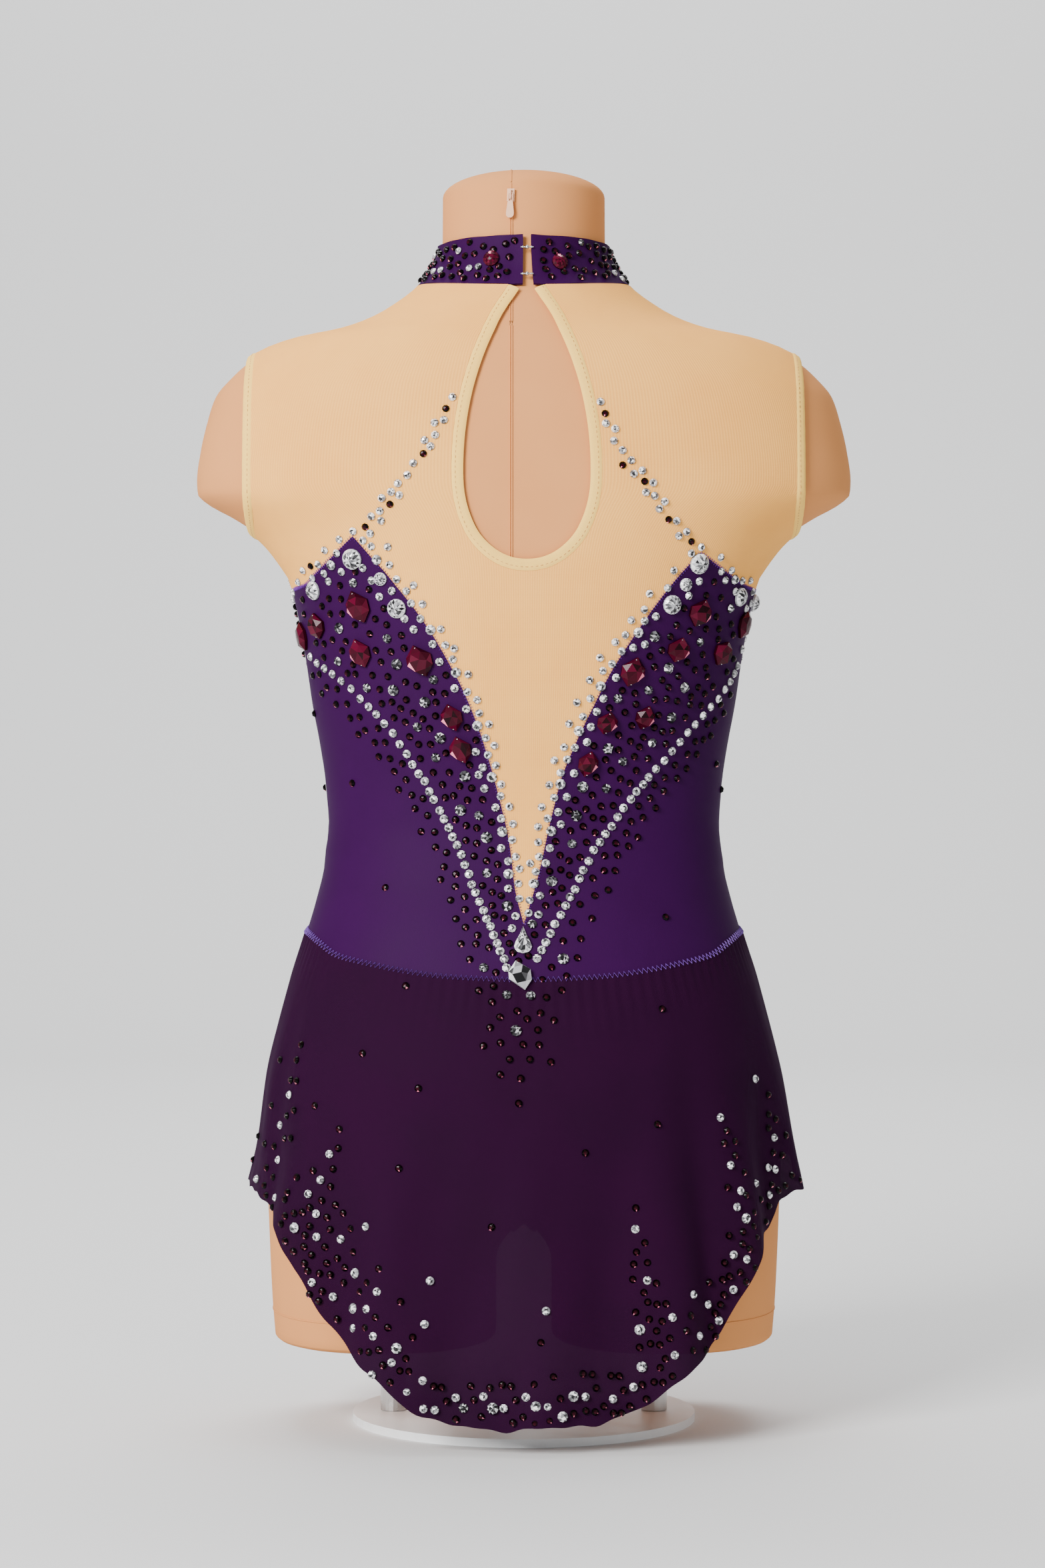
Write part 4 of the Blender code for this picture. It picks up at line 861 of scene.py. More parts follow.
# Clear stones: black, grey and white facets, all painted reflection and painted glint. Garnets: their own near-black
# and deep red, with a painted pink glint as the bright colour.
CLEAR = GemFinish("ClearStone", "crystal", (0.006, 0.006, 0.007), (0.40, 0.40, 0.42), (1.0, 1.0, 1.0),
                  metallic=0.10, roughness=0.10, shine=0.30)
GARNET = GemFinish("GarnetStone", "garnet", (0.0008, 0.0001, 0.0003), (0.080, 0.0020, 0.016), (1.0, 0.26, 0.38),
                   metallic=0.0, roughness=0.12, shine=0.10)
STEEL = HardFinish("ZipSteel", "steel", (0.62, 0.61, 0.60), (0.50, 0.49, 0.48), metallic=1.0, roughness=0.28)
LACQUER = HardFinish("NudeLacquer", "nude_paint", (0.78, 0.44, 0.26), (0.70, 0.38, 0.22), roughness=0.40)
PAINT = HardFinish("WhitePaint", "white_paint", (0.82, 0.82, 0.82), (0.78, 0.78, 0.78), roughness=0.45)
PURPLE_THREAD = HardFinish("PurpleThread", "knit", (0.13, 0.016, 0.30), (0.08, 0.010, 0.20), roughness=0.50,
                           scale=900.0)
LILAC_THREAD = HardFinish("LilacThread", "knit", (0.17, 0.065, 0.36), (0.11, 0.04, 0.25), roughness=0.50,
                          scale=900.0)
NUDE_THREAD = HardFinish("NudeThread", "nude_elastic", (0.62, 0.30, 0.07), (0.50, 0.22, 0.05), roughness=0.60,
                         scale=900.0)


@dataclass
class MeshParts:
    """Points and faces gathered for one piece."""

    points: list[Places] = field(default_factory=list)
    faces: list[tuple[int, ...]] = field(default_factory=list)
    tones: list[float] = field(default_factory=list)
    count: int = 0

    def add(self, points: Places, faces: Sequence[Sequence[int]], tones: Sequence[float] = ()) -> None:
        """Take in more points and faces.

        Args:
            points: one a row.
            faces: indices into those points.
            tones: one for each face, where facets have tones.
        """
        start = self.count
        self.points.append(np.asarray(points, float))
        self.faces += [tuple(start + i for i in face) for face in faces]
        self.tones += list(tones)
        self.count += len(points)


def add_piece(name: str, parts: MeshParts, finish: Finish, uv: Places | None = None,
              flat: bool = False) -> bpy.types.Object:
    """Make one object from gathered points and faces.

    Args:
        name: the piece's name.
        parts: its points and faces.
        finish: its finish.
        uv: place of each point on the cloth's own map, in metres.
        flat: whether every face is shaded flat.

    Returns:
        The object.
    """
    data = bpy.data.meshes.new(name)
    data.from_pydata(np.concatenate(parts.points).tolist(), [], parts.faces)
    if uv is not None:
        layer = data.uv_layers.new(name=CLOTH_MAP)
        corners = np.empty(len(data.loops), dtype=np.int32)
        data.loops.foreach_get("vertex_index", corners)
        layer.uv.foreach_set("vector", uv[corners].astype(np.float32).ravel())
    # Each face's tone, which paints the stones' reflections and glints
    if parts.tones:
        layer = data.attributes.new(FACET_PAINTED_LIGHT, "FLOAT_COLOR", "CORNER")
        sizes = [len(face) for face in parts.faces]
        tone = np.repeat(np.array(parts.tones), sizes)
        colour = np.stack([tone, tone, tone, np.ones(len(tone))], 1)
        layer.data.foreach_set("color", colour.astype(np.float32).ravel())
    work = bmesh.new()
    work.from_mesh(data)
    bmesh.ops.recalc_face_normals(work, faces=work.faces)
    for face in work.faces:
        face.smooth = not flat
    limit = math.radians(SHARP_DEGREES)
    for edge in work.edges:
        edge.smooth = flat or len(edge.link_faces) != 2 or edge.calc_face_angle(0.0) < limit
    work.to_mesh(data)
    work.free()
    data.materials.append(finish.material())
    made = bpy.data.objects.new(name, data)
    bpy.context.scene.collection.objects.link(made)
    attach(made, BODY)
    LOG.info("%s: %d faces", name, len(data.polygons))
    return made


def from_bmesh(work: bmesh.types.BMesh) -> MeshParts:
    """Gather a working mesh's points and faces, and free it."""
    work.verts.index_update()
    parts = MeshParts()
    parts.add(np.array([tuple(v.co) for v in work.verts]), [[v.index for v in f.verts] for f in work.faces])
    work.free()
    return parts


def wall_parts(inner: Places, outer: Places, faces: Sequence[tuple[int, ...]]) -> MeshParts:
    """A wall between two layers of points that share one set of faces.

    Args:
        inner: points of the inner layer.
        outer: points of the outer layer.
        faces: indices for both layers.

    Returns:
        The closed wall.
    """
    count = len(inner)
    pairs = {(a, b) for face in faces for a, b in zip(face, face[1:] + face[:1])}
    rim = [pair for pair in pairs if (pair[1], pair[0]) not in pairs]
    rim.sort()
    walls = [tuple(i + count for i in face) for face in faces]
    walls += [tuple(reversed(face)) for face in faces]
    walls += [(a, b, b + count, a + count) for a, b in rim]
    parts = MeshParts()
    parts.add(np.concatenate([inner, outer]), walls)
    return parts


def add_cloth(node: str, inner: Places, outer: Places, faces: Sequence[tuple[int, ...]], uv: Places,
              finish: ClothFinish) -> bpy.types.Object:
    """Make a wall of cloth in the place of its node.

    Args:
        node: the node.
        inner: points of the inner layer.
        outer: points of the outer layer.
        faces: indices for both layers.
        uv: place of each point of one layer on the cloth's own map, in metres.
        finish: the cloth.

    Returns:
        The object.
    """
    made = add_piece(node + "_cloth", wall_parts(inner, outer, faces), finish, np.concatenate([uv, uv]))
    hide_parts(node)
    return made


def grid_faces(rows: int, columns: int, wrap: bool = False) -> list[tuple[int, ...]]:
    """Four-sided faces of a grid, row by row.

    Args:
        rows: rows of faces.
        columns: columns of faces.
        wrap: whether the last column joins the first.

    Returns:
        The faces.
    """
    wide = columns if wrap else columns + 1
    faces = []
    for r in range(rows):
        for i in range(columns):
            j = (i + 1) % wide
            faces.append((r * wide + i, r * wide + j, (r + 1) * wide + j, (r + 1) * wide + i))
    return faces


def inside(spots: Places, border: Places) -> Places:
    """Which flat spots lie inside a flat border."""
    a = border[None]
    b = np.roll(border, -1, 0)[None]
    x = spots[:, None, 0]
    y = spots[:, None, 1]
    crossing = (a[..., 1] > y) != (b[..., 1] > y)
    rise = np.where(np.abs(b[..., 1] - a[..., 1]) < 1e-15, 1e-15, b[..., 1] - a[..., 1])
    left = x < a[..., 0] + (b[..., 0] - a[..., 0]) * (y - a[..., 1]) / rise
    return (crossing & left).sum(1) % 2 == 1


def clearance(spots: Places, border: Places) -> Places:
    """Distance of flat spots from a flat border."""
    a = border[None]
    along = (np.roll(border, -1, 0) - border)[None]
    away = spots[:, None] - a
    share = np.clip((away * along).sum(2) / np.maximum((along**2).sum(2), 1e-16), 0, 1)
    return np.linalg.norm(away - along * share[..., None], axis=2).min(1)


@dataclass
class Panel:
    """One cut piece of the leotard's body."""

    node: str
    border: Places
    finish: ClothFinish
    centre: float = 0.0
    step: float = FINE_STEP
    edged_by: Sequence[bpy.types.Object] = ()
    row_share: float = 0.87
    edge_share: float = 0.45

    def build(self) -> bpy.types.Object:
        """Cut the panel from the skin and crease it."""
        border = inset(self.border, EDGE_GAP)
        flat = FIGURE.plan(border, self.centre)
        low = flat.min(0)
        high = flat.max(0)
        rows = np.arange(low[1], high[1], self.step * self.row_share)
        fill = []
        for r, v in enumerate(rows):
            u = np.arange(low[0] + (self.step / 2 if r % 2 else 0.0), high[0], self.step)
            fill.append(np.stack([u, np.full(len(u), v)], 1))
        spots = np.concatenate(fill)
        spots = spots[inside(spots, flat)]
        spots = spots[clearance(spots, flat) > self.step * self.edge_share]
        whole = np.concatenate([flat, spots])
        count = len(flat)
        rim = [(i, (i + 1) % count) for i in range(count)]
        found, _, faces, _, _, _ = delaunay_2d_cdt([Vector(p) for p in whole], rim, [], 0, 1e-9)
        found = np.array([tuple(p) for p in found])
        middles = found[np.array([list(face) for face in faces])].mean(1)
        kept = [tuple(face) for face, good in zip(faces, inside(middles, flat)) if good]
        places = np.concatenate([border, FIGURE.unplan(found[count:], self.centre)])
        turn, height = places.T
        crease = crease_height(turn, height, BODY_CREASES)
        inner = FIGURE.lifted(turn, height, UNDER + np.minimum(crease, 0.0))
        outer = FIGURE.lifted(turn, height, OUTER + crease)
        uv = np.stack([turn * RADIUS, height], 1)
        made = add_cloth(self.node, inner, outer, kept, uv, self.finish)
        return made


@dataclass
class LeotardBody:
    """Yokes, bodice and brief, cut along shared seam lines, with their edge bands."""

    bands: dict[str, bpy.types.Object] = field(default_factory=dict)
    brief_step: float = 0.009

    def lines(self) -> dict[str, Places]:
        """Seam lines of the right back, and of the left where it differs."""
        arm = armhole_line()
        side_end = np.array([[math.pi / 2, BODICE_SIDE]])
        half = np.array([math.pi / 2])
        return {
            "v": through(on_back(V_EDGE), EDGE_STEP),
            "peak": through(np.concatenate([on_back(PEAK_EDGE), side_end]), EDGE_STEP),
            "v_left": mirrored(through(on_back(V_EDGE_LEFT), EDGE_STEP)),
            "peak_left": mirrored(through(np.concatenate([on_back(PEAK_EDGE_LEFT), side_end]), EDGE_STEP)),
            "side": upright(BODICE_SIDE, arm[0, 1]),
            "arm": arm,
            "shoulder": upright(arm[-1, 1], collar_base(half)[0]),
            "bodice_side": upright(waist(half)[0], BODICE_SIDE),
            "brief_side": upright(leg_line(half)[0], waist(half)[0]),
        }

    def build(self) -> None:
        """Make the edge bands, then cut and make every panel."""
        self.bands = Bindings().build()
        line = self.lines()
        keyhole = keyhole_line()
        half = math.pi / 2
        far = 3 * half
        across = {key: np.stack([np.full(len(line[key]), far), line[key][:, 1]], 1)
                  for key in ("side", "shoulder", "bodice_side", "brief_side")}
        waist_back = level_line(waist, -half, half)
        waist_front = level_line(waist, half, far)
        top_front = level_line(bodice_front_top, half, far)
        arm_front = on_front(line["arm"])
        arm_far = np.stack([math.tau - arm_front[:, 0], arm_front[:, 1]], 1)
        up = joined(line["v"], line["peak"], line["side"], line["arm"], line["shoulder"])
        top = joined(level_line(collar_base, half, keyhole[0, 0]), keyhole,
                     level_line(collar_base, keyhole[-1, 0], -half))
        down = joined(*(mirrored(line[key])[::-1] for key in ("shoulder", "arm", "side")),
                      line["peak_left"][::-1], line["v_left"][::-1])
        panels = [
            Panel("yoke_back", np.concatenate([up, top, down]), NUDE,
                  edged_by=list(self.bands.values())),
            Panel("bodice_back", joined(
                waist_back, line["bodice_side"], line["peak"][::-1], line["v"][::-1], line["v_left"],
                line["peak_left"], mirrored(line["bodice_side"])[::-1]), KNIT),
            Panel("yoke_front", joined(
                top_front, across["side"], arm_far, across["shoulder"], level_line(collar_base, far, half),
                line["shoulder"][::-1], arm_front[::-1], line["side"][::-1]), NUDE, math.pi),
            Panel("bodice_front", joined(
                waist_front, across["bodice_side"], top_front[::-1], line["bodice_side"][::-1]),
                KNIT, math.pi),
            Panel("brief_back", joined(
                level_line(leg_line, -half, half), line["brief_side"], waist_back[::-1],
                mirrored(line["brief_side"])[::-1]), KNIT, 0.0, self.brief_step),
            Panel("brief_front", joined(
                level_line(leg_line, half, far), across["brief_side"], waist_front[::-1],
                line["brief_side"][::-1]), KNIT, math.pi, self.brief_step),
        ]
        for panel in panels:
            panel.build()
        self.build_gusset()

    def build_gusset(self) -> None:
        """Round off the gusset that joins the brief between the legs."""
        node = bpy.data.objects["brief_gusset"]
        points = np.array([tuple(vertex.co) for vertex in node.data.vertices])
        keys, index = np.unique(np.round(points, 6), axis=0, return_inverse=True)
        faces = [tuple(int(index.ravel()[i]) for i in face.vertices) for face in node.data.polygons]
        work = bmesh.new()
        corners = [work.verts.new(p) for p in keys]
        for face in faces:
            if len(set(face)) == len(face):
                work.faces.new([corners[i] for i in face])
        bmesh.ops.join_triangles(work, faces=work.faces, angle_face_threshold=0.9, angle_shape_threshold=0.9)
        parts = from_bmesh(work)
        place = np.concatenate(parts.points)
        uv = place[:, :2].copy()
        made = add_piece("brief_gusset_cloth", parts, KNIT, uv)
        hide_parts("brief_gusset")
        soft = made.modifiers.new("Soft", "SUBSURF")
        soft.levels = 2
        soft.render_levels = 2


@dataclass
class Collar:
    """Stand collar, open along the slit at the centre back, with its fastenings."""

    columns: int = 150
    rows: int = 12
    edge_roll: float = 0.0007
    slit_roll_width: float = 0.0035
    top_roll_width: float = 0.0025
    flat_height: float = 0.030

    def build(self) -> None:
        """Make the collar and the two fastenings."""
        level = np.array([COLLAR_TOP])
        start = FIGURE.turn_at(OPENING_X + SLIT_WIDTH / 2, level)[0]
        end = FIGURE.turn_at(OPENING_X - SLIT_WIDTH / 2, level)[0] + math.tau
        turn = np.tile(np.linspace(start, end, self.columns + 1), self.rows + 1)
        share = np.repeat(np.linspace(0, 1, self.rows + 1), self.columns + 1)
        low = collar_base(turn) + SEAM / 2
        height = low + (COLLAR_TOP - low) * share
        from_slit = np.minimum(turn - start, end - turn) * 0.050
        roll = self.edge_roll * np.exp(-((from_slit / self.slit_roll_width) ** 2))
        roll += 0.4 * self.edge_roll * np.exp(-(((COLLAR_TOP - height) / self.top_roll_width) ** 2))
        wave = 0.00025 * np.sin(turn * 9 + height * 160) + 0.0002 * np.sin(turn * 17)
        inner = FIGURE.lifted(turn, height, UNDER)
        outer = FIGURE.lifted(turn, height, COLLAR_OUTER - 0.0004 + roll + wave)
        faces = grid_faces(self.rows, self.columns)
        uv = np.stack([turn * COLLAR_RADIUS, height], 1)
        made = add_cloth("collar", inner, outer, faces, uv, KNIT)
        for node in ("collar_hook_upper", "collar_hook_lower"):
            self.build_fastening(node)

    def build_fastening(self, node: str) -> None:
        """A bead and a bar across the slit, in the fastening's own place."""
        low, high = (np.array(corner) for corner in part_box(node))
        middle = (low + high) / 2
        half = (high - low) / 2
        parts = MeshParts()
        for along, share in ((0.0, 0.98), (-0.62, 0.55), (0.62, 0.55)):
            add_ball(parts, middle + (half[0] * along, 0, 0), half[2] * share)
        ends = np.array([middle - (half[0] * 0.9, 0, 0), middle + (half[0] * 0.9, 0, 0)])
        add_tube(parts, ends, half[2] * 0.35, 8)
        made = add_piece(node + "_metal", parts, STEEL)
        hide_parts(node)


def add_ball(parts: MeshParts, middle: Places, radius: float, columns: int = 16, rows: int = 9) -> None:
    """Gather a ball.

    Args:
        parts: where it is gathered.
        middle: its centre.
        radius: its radius.
        columns: faces round it.
        rows: faces from pole to pole.
    """
    points = []
    for r in range(rows + 1):
        polar = math.pi * r / rows
        for i in range(columns):
            turn = math.tau * i / columns
            ring = max(math.sin(polar), 1e-3)
            points.append((ring * math.cos(turn), ring * math.sin(turn), math.cos(polar)))
    faces = grid_faces(rows, columns, True)
    faces += [tuple(range(columns)), tuple(range(rows * columns, (rows + 1) * columns))]
    parts.add(np.array(points) * radius + middle, faces)


def add_tube(parts: MeshParts, path: Places, radius: float, sides: int = 4) -> None:
    """Gather a thin tube along a path.

    Args:
        parts: where it is gathered.
        path: points of its middle line.
        radius: its radius.
        sides: faces round it.
    """
    ahead = unit(np.gradient(path, axis=0))
    helper = np.where(np.abs(ahead[:, 2:3]) < 0.9, [[0.0, 0.0, 1.0]], [[0.0, 1.0, 0.0]])
    side = unit(np.cross(ahead, helper))
    up = np.cross(side, ahead)
    rings = []
    for i in range(sides):
        turn = math.tau * (i + 0.5) / sides
        rings.append(path + radius * (math.cos(turn) * side + math.sin(turn) * up))
    points = np.stack(rings, 1).reshape(-1, 3)
    faces = grid_faces(len(path) - 1, sides, True)
    last = (len(path) - 1) * sides
    faces += [tuple(range(sides)), tuple(range(last, last + sides))]
    parts.add(points, faces)


@dataclass
class Bindings:
    """Elastic bands round the armholes and the drop-shaped opening, with their stitches."""

    stitch: float = 0.0019
    pitch: float = 0.0030
    thread: float = 0.00022
    steps: int = 6
    rounding: float = 0.0007
    ripple: float = 0.00008

    def band(self, node: str, line: Places, width: float, closed: bool) -> bpy.types.Object:
        """One band on the left of a line.

        Args:
            node: the node that it replaces.
            line: turns and heights of its seam.
            width: its width.
            closed: whether it is a loop.

        Returns:
            The band.
        """
        steps = self.steps
        rows = [inset(line, EDGE_GAP, closed)]
        for _ in range(steps):
            rows.append(inset(rows[-1], width / steps, closed))
        count = len(line)
        places = np.concatenate(rows)
        share = np.repeat(np.linspace(-1, 1, steps + 1), count)
        ripple = self.ripple * np.sin(np.tile(np.arange(count), steps + 1) * 1.9)
        lift = BAND_OUTER - self.rounding * share**4 + ripple
        columns = count if closed else count - 1
        faces = grid_faces(steps, columns, closed)
        inner = FIGURE.lifted(places[:, 0], places[:, 1], UNDER)
        outer = FIGURE.lifted(places[:, 0], places[:, 1], lift)
        along = np.tile(np.arange(count) * EDGE_STEP, steps + 1)
        uv = np.stack([share * width / 2, along], 1)
        made = add_cloth(node, inner, outer, faces, uv, ELASTIC)
        self.stitches(node + "_stitches", rows[2], closed)
        return made

    def stitches(self, name: str, line: Places, closed: bool) -> None:
        """A row of short stitches along a line."""
        if closed:
            line = np.concatenate([line, line[:1]])
        spots = FIGURE.point(line[:, 0], line[:, 1])
        reach = np.concatenate([[0.0], np.cumsum(np.linalg.norm(np.diff(spots, axis=0), axis=1))])
        parts = MeshParts()
        goal = self.pitch
        while goal + self.stitch < reach[-1]:
            at = goal + self.stitch * np.array([0.0, 0.25, 0.75, 1.0])
            turn = np.interp(at, reach, line[:, 0])
            height = np.interp(at, reach, line[:, 1])
            lift = BAND_OUTER - 0.0001 + np.array([-0.0002, 0.00012, 0.00012, -0.0002])
            add_tube(parts, FIGURE.lifted(turn, height, lift), self.thread)
            goal += self.pitch
        add_piece(name, parts, NUDE_THREAD)

    def build(self) -> dict[str, bpy.types.Object]:
        """Make the three bands.

        Returns:
            The bands by node.
        """
        arm = armhole_line()
        loop = joined(arm, on_front(arm)[::-1])
        line = keyhole_line()
        line[[0, -1], 1] -= SEAM * 0.6
        rows = (("armhole_binding_right", loop[::-1], ARM_BAND, True),
                ("armhole_binding_left", mirrored(loop), ARM_BAND, True),
                ("keyhole_binding", line[::-1], KEYHOLE_BAND, False))
        return {row[0]: self.band(*row) for row in rows}


@dataclass
class Skirt:
    """Long back and short front of soft mesh, hung from the waist seam."""

    columns: int = 220
    rows: int = 64
    ripple: float = 0.0009
    gathers: float = 0.00035
    side_radius: float = 0.16
    map_radius: float = 0.15
    inner_lift: float = 0.0002
    outer_lift: float = 0.0008
    area_share: float = 0.98
    hem_waves: Sequence[Row] = ((0.0008, 23, 0.0), (0.0006, 41, 1.0), (0.0004, 67, 2.0))

    def part(self, node: str, start: float, end: float) -> None:
        """One half of the skirt.

        Args:
            node: the node that it replaces.
            start: turn of its first side seam.
            end: turn of its other side seam.
        """
        margin = EDGE_GAP / self.side_radius
        turn = np.tile(np.linspace(start + margin, end - margin, self.columns + 1), self.rows + 1)
        share = np.repeat(np.linspace(0, 1, self.rows + 1), self.columns + 1)
        wavy = np.zeros(len(turn))
        for size, waves, start_at in self.hem_waves:
            wavy += size * np.sin(turn * waves + start_at)
        low = hem(turn) + wavy
        high = waist(turn) - EDGE_GAP
        height = high + (low - high) * share
        curl = self.ripple * share**6 * np.sin(turn * 31 + 0.5)
        gather = self.gathers * np.exp(-((share / 0.10) ** 2)) * np.sin(turn * 120)
        soft = 0.0007 * share * np.sin(turn * 13 + height * 21) + 0.0005 * share * np.sin(turn * 29 - height * 33)
        inner = SKIRT.lifted(turn, height, self.inner_lift + soft + curl + gather)
        outer = SKIRT.lifted(turn, height, self.outer_lift + soft + curl + gather)
        faces = [tuple(reversed(face)) for face in grid_faces(self.rows, self.columns)]
        uv = np.stack([turn * self.map_radius, height], 1)
        made = add_cloth(node, inner, outer, faces, uv, SKIRT_MESH)

    def build(self) -> None:
        """Make the back and the front."""
        half = math.pi / 2
        self.part("skirt_back", -half, half)
        self.part("skirt_front", half, 3 * half)


@dataclass
class Topstitching:
    """Zigzag thread along the V, the bodice's top edges and the waist seam."""

    radius: float = 0.00024
    fine: tuple[float, float] = (0.0018, 0.0022)
    wide: tuple[float, float] = (0.0030, 0.0034)

    def zigzag(self, name: str, line: Places, stitch: tuple[float, float], lift: tuple[float, float],
               finish: HardFinish, closed: bool = False) -> None:
        """A zigzag across a line.

        Args:
            name: the piece's name.
            line: turns and heights.
            stitch: distance between stitches on one side, and the zigzag's width.
            lift: height of the thread on the line's left and right.
            finish: the thread.
            closed: whether the line is a loop.
        """
        pitch, width = stitch
        line = spaced(np.concatenate([line, line[:1]]) if closed else line, pitch / 2)
        left = inset(line, width / 2, False)
        right = inset(line, -width / 2, False)
        odd = np.arange(len(line)) % 2 == 1
        places = np.where(odd[:, None], left, right)
        rise = np.where(odd, lift[0], lift[1])
        parts = MeshParts()
        add_tube(parts, FIGURE.lifted(places[:, 0], places[:, 1], rise), self.radius, 5)
        add_piece(name, parts, finish)

    def build(self) -> None:
        """Stitch every seam that shows a zigzag."""
        line = LeotardBody().lines()
        level = OUTER + 0.00025
        for name, edge in (("v_stitches_right", joined(line["v"], line["peak"])),
                           ("v_stitches_left", joined(line["v_left"], line["peak_left"])),
                           ("front_edge_stitches", level_line(bodice_front_top, math.pi / 2, 3 * math.pi / 2))):
            self.zigzag(name, edge, self.fine, (level, level), PURPLE_THREAD)
        seam = level_line(waist, -math.pi, math.pi)[:-1]
        self.zigzag("waist_stitches", seam, self.wide, (OUTER + 0.0004, SKIRT_UNDER + SKIRT_WALL + 0.0004),
                    LILAC_THREAD, True)


@dataclass(frozen=True)
class GemShape:
    """Rings of a stone from its back to its flat or pointed top, as shares of its own size."""

    rings: Sequence[Row]
    pointed: bool = False

    def gather(self, parts: MeshParts, here: Places, outline: Places, width: float, length: float, rise: float,
               tones: Callable[[int, int], float]) -> None:
        """Gather one stone.

        Args:
            parts: where it is gathered.
            here: its axes as rows, across, up and out, then its place.
            outline: its outline, as shares of half its width and length.
            width: its width.
            length: its length.
            rise: its height.
            tones: gives a facet's tone from its ring and its place in the ring.
        """
        across, up, out, spot = here
        count = len(outline)
        turned = (outline + np.roll(outline, -1, 0)) / 2
        turned *= (np.linalg.norm(outline, axis=1) / np.maximum(np.linalg.norm(turned, axis=1), 1e-9))[:, None]
        points = []
        for r, (share, level) in enumerate(self.rings):
            shape = turned if r >= 2 and r % 2 == 0 else outline
            points.append(spot + out * level * rise + across * shape[:, :1] * share * width / 2
                          + up * shape[:, 1:] * share * length / 2)
        faces: list[tuple[int, ...]] = []
        marks: list[float] = []
        last = len(self.rings) - 1
        for r in range(last):
            for i in range(count):
                j = (i + 1) % count
                a, b, c, d = r * count + i, r * count + j, (r + 1) * count + j, (r + 1) * count + i
                if r == 0:
                    faces.append((a, b, c, d))
                    marks.append(tones(r, i))
                    continue
                faces += [(a, b, d), (b, c, d)] if r % 2 == 1 else [(a, b, c), (a, c, d)]
                marks += [tones(r, 2 * i), tones(r, 2 * i + 1)]
        if self.pointed:
            middle = spot + out * rise
        else:
            middle = spot + out * rise * 1.04 + across * width * 0.07 + up * length * 0.05
        points.append(middle[None])
        top = (last + 1) * count
        for i in range(count):
            faces.append((last * count + i, last * count + (i + 1) % count, top))
            marks.append(tones(last if self.pointed else last + 1, i))
        parts.add(np.concatenate(points), faces, marks)


def polygon(count: int) -> Places:
    """Corners of a regular outline."""
    return np.array([(math.cos(math.tau * i / count), math.sin(math.tau * i / count)) for i in range(count)])


OUTLINES = {
    Cut.COSMIC: np.array([(-0.13, 1.0), (0.96, 0.28), (0.92, -0.40), (0.20, -1.0), (-0.96, -0.12), (-0.90, 0.36)]),
    Cut.PEAR: np.array([(0.0, 1.0), (-0.20, 0.70), (-0.36, 0.42), (-0.62, 0.12), (-0.82, -0.12), (-1.0, -0.48),
                        (-0.88, -0.72), (-0.60, -0.90), (0.0, -1.0), (0.60, -0.90), (0.88, -0.72), (1.0, -0.48),
                        (0.82, -0.12), (0.62, 0.12), (0.36, 0.42), (0.20, 0.70)]),
    Cut.ROUND: polygon(14),
}
SMALL_ROUND = polygon(9)
STEP_CUT = GemShape(((0.98, 0.0), (1.0, 0.34), (0.66, 0.96)))
PEAR_CUT = GemShape(((0.98, 0.0), (1.0, 0.30), (0.80, 0.66), (0.48, 0.96)))
DOME_CUT = GemShape(((1.0, 0.0), (1.0, 0.28), (0.74, 0.66), (0.40, 0.92)), True)
SMALL = GemShape(((0.95, 0.0), (1.0, 0.28), (0.56, 0.92)))


def seat(surface: Surface, turn: float, height: float, lift: float, tilt: float, reach: float) -> Places:
    """Axes and place of a stone that lies just clear of curved cloth.

    Args:
        surface: what it lies on.
        turn: its turn.
        height: its height.
        lift: the cloth's outer face above the surface.
        tilt: turn of the stone on the cloth, in radians.
        reach: the stone's half size.

    Returns:
        Rows for across, up, out and the place.
    """
    by_turn, by_height = surface.slants(np.array([turn]), np.array([height]))
    out = unit(np.cross(by_turn, by_height))[0]
    across = unit(by_turn)[0]
    up = np.cross(out, across)
    spot = surface.spot(turn, height, lift)
    angles = np.linspace(0, math.tau, 9)[:-1]
    length = np.linalg.norm(by_turn)
    around_turn = turn + reach * np.cos(angles) / length
    around_height = height + reach * np.sin(angles) / max(np.linalg.norm(by_height), 1e-6)
    near = surface.lifted(around_turn, around_height, lift) - spot
    rise = max(0.0, float((near @ out).max()))
    c, s = math.cos(tilt), math.sin(tilt)
    return np.stack([across * c + up * s, up * c - across * s, out, spot + out * (rise + 0.0001)])


def clear_tones(chance: random.Random) -> Callable[[int, int], float]:
    """Tones of a small clear stone, all painted reflection and glint: a silver crown round a dark, broken top."""
    # first of three top facets that get a painted glint
    lit = chance.randrange(9)

    def tone(ring: int, place: int) -> float:
        """Tone of one facet."""
        if ring == 0:
            return 0.30
        if ring >= 3:
            return 1.0 if (place - lit) % 9 < 3 else chance.choice((0.0, 0.04, 0.10, 0.30))
        return chance.choice((1.0, 0.90, 0.70, 0.50, 0.32, 0.12))

    return tone


def smoke_tones(chance: random.Random) -> Callable[[int, int], float]:
    """Tones of a smoky stone: its own black, with painted silver reflections on a few facets."""

    def tone(ring: int, place: int) -> float:
        """Tone of one facet."""
        if ring == 0:
            return 0.0
        return chance.choice((0.0, 0.0, 0.04, 0.08, 0.20, 0.90) if ring < 3 else (0.0, 0.05, 0.0, 0.55, 0.16))

    return tone


def fancy_tones(chance: random.Random) -> Callable[[int, int], float]:
    """Tones of a large clear stone, all painted reflection and glint: a thin bright rim round a broken pattern of black
    and silver.
    """

    def tone(ring: int, place: int) -> float:
        """Tone of one facet."""
        if ring == 0:
            return 0.50
        if ring == 1 and place % 2 == 0:
            return chance.uniform(0.70, 1.0)
        return chance.choice((0.0, 0.05, 0.12, 0.25, 0.45, 0.62, 0.90))

    return tone


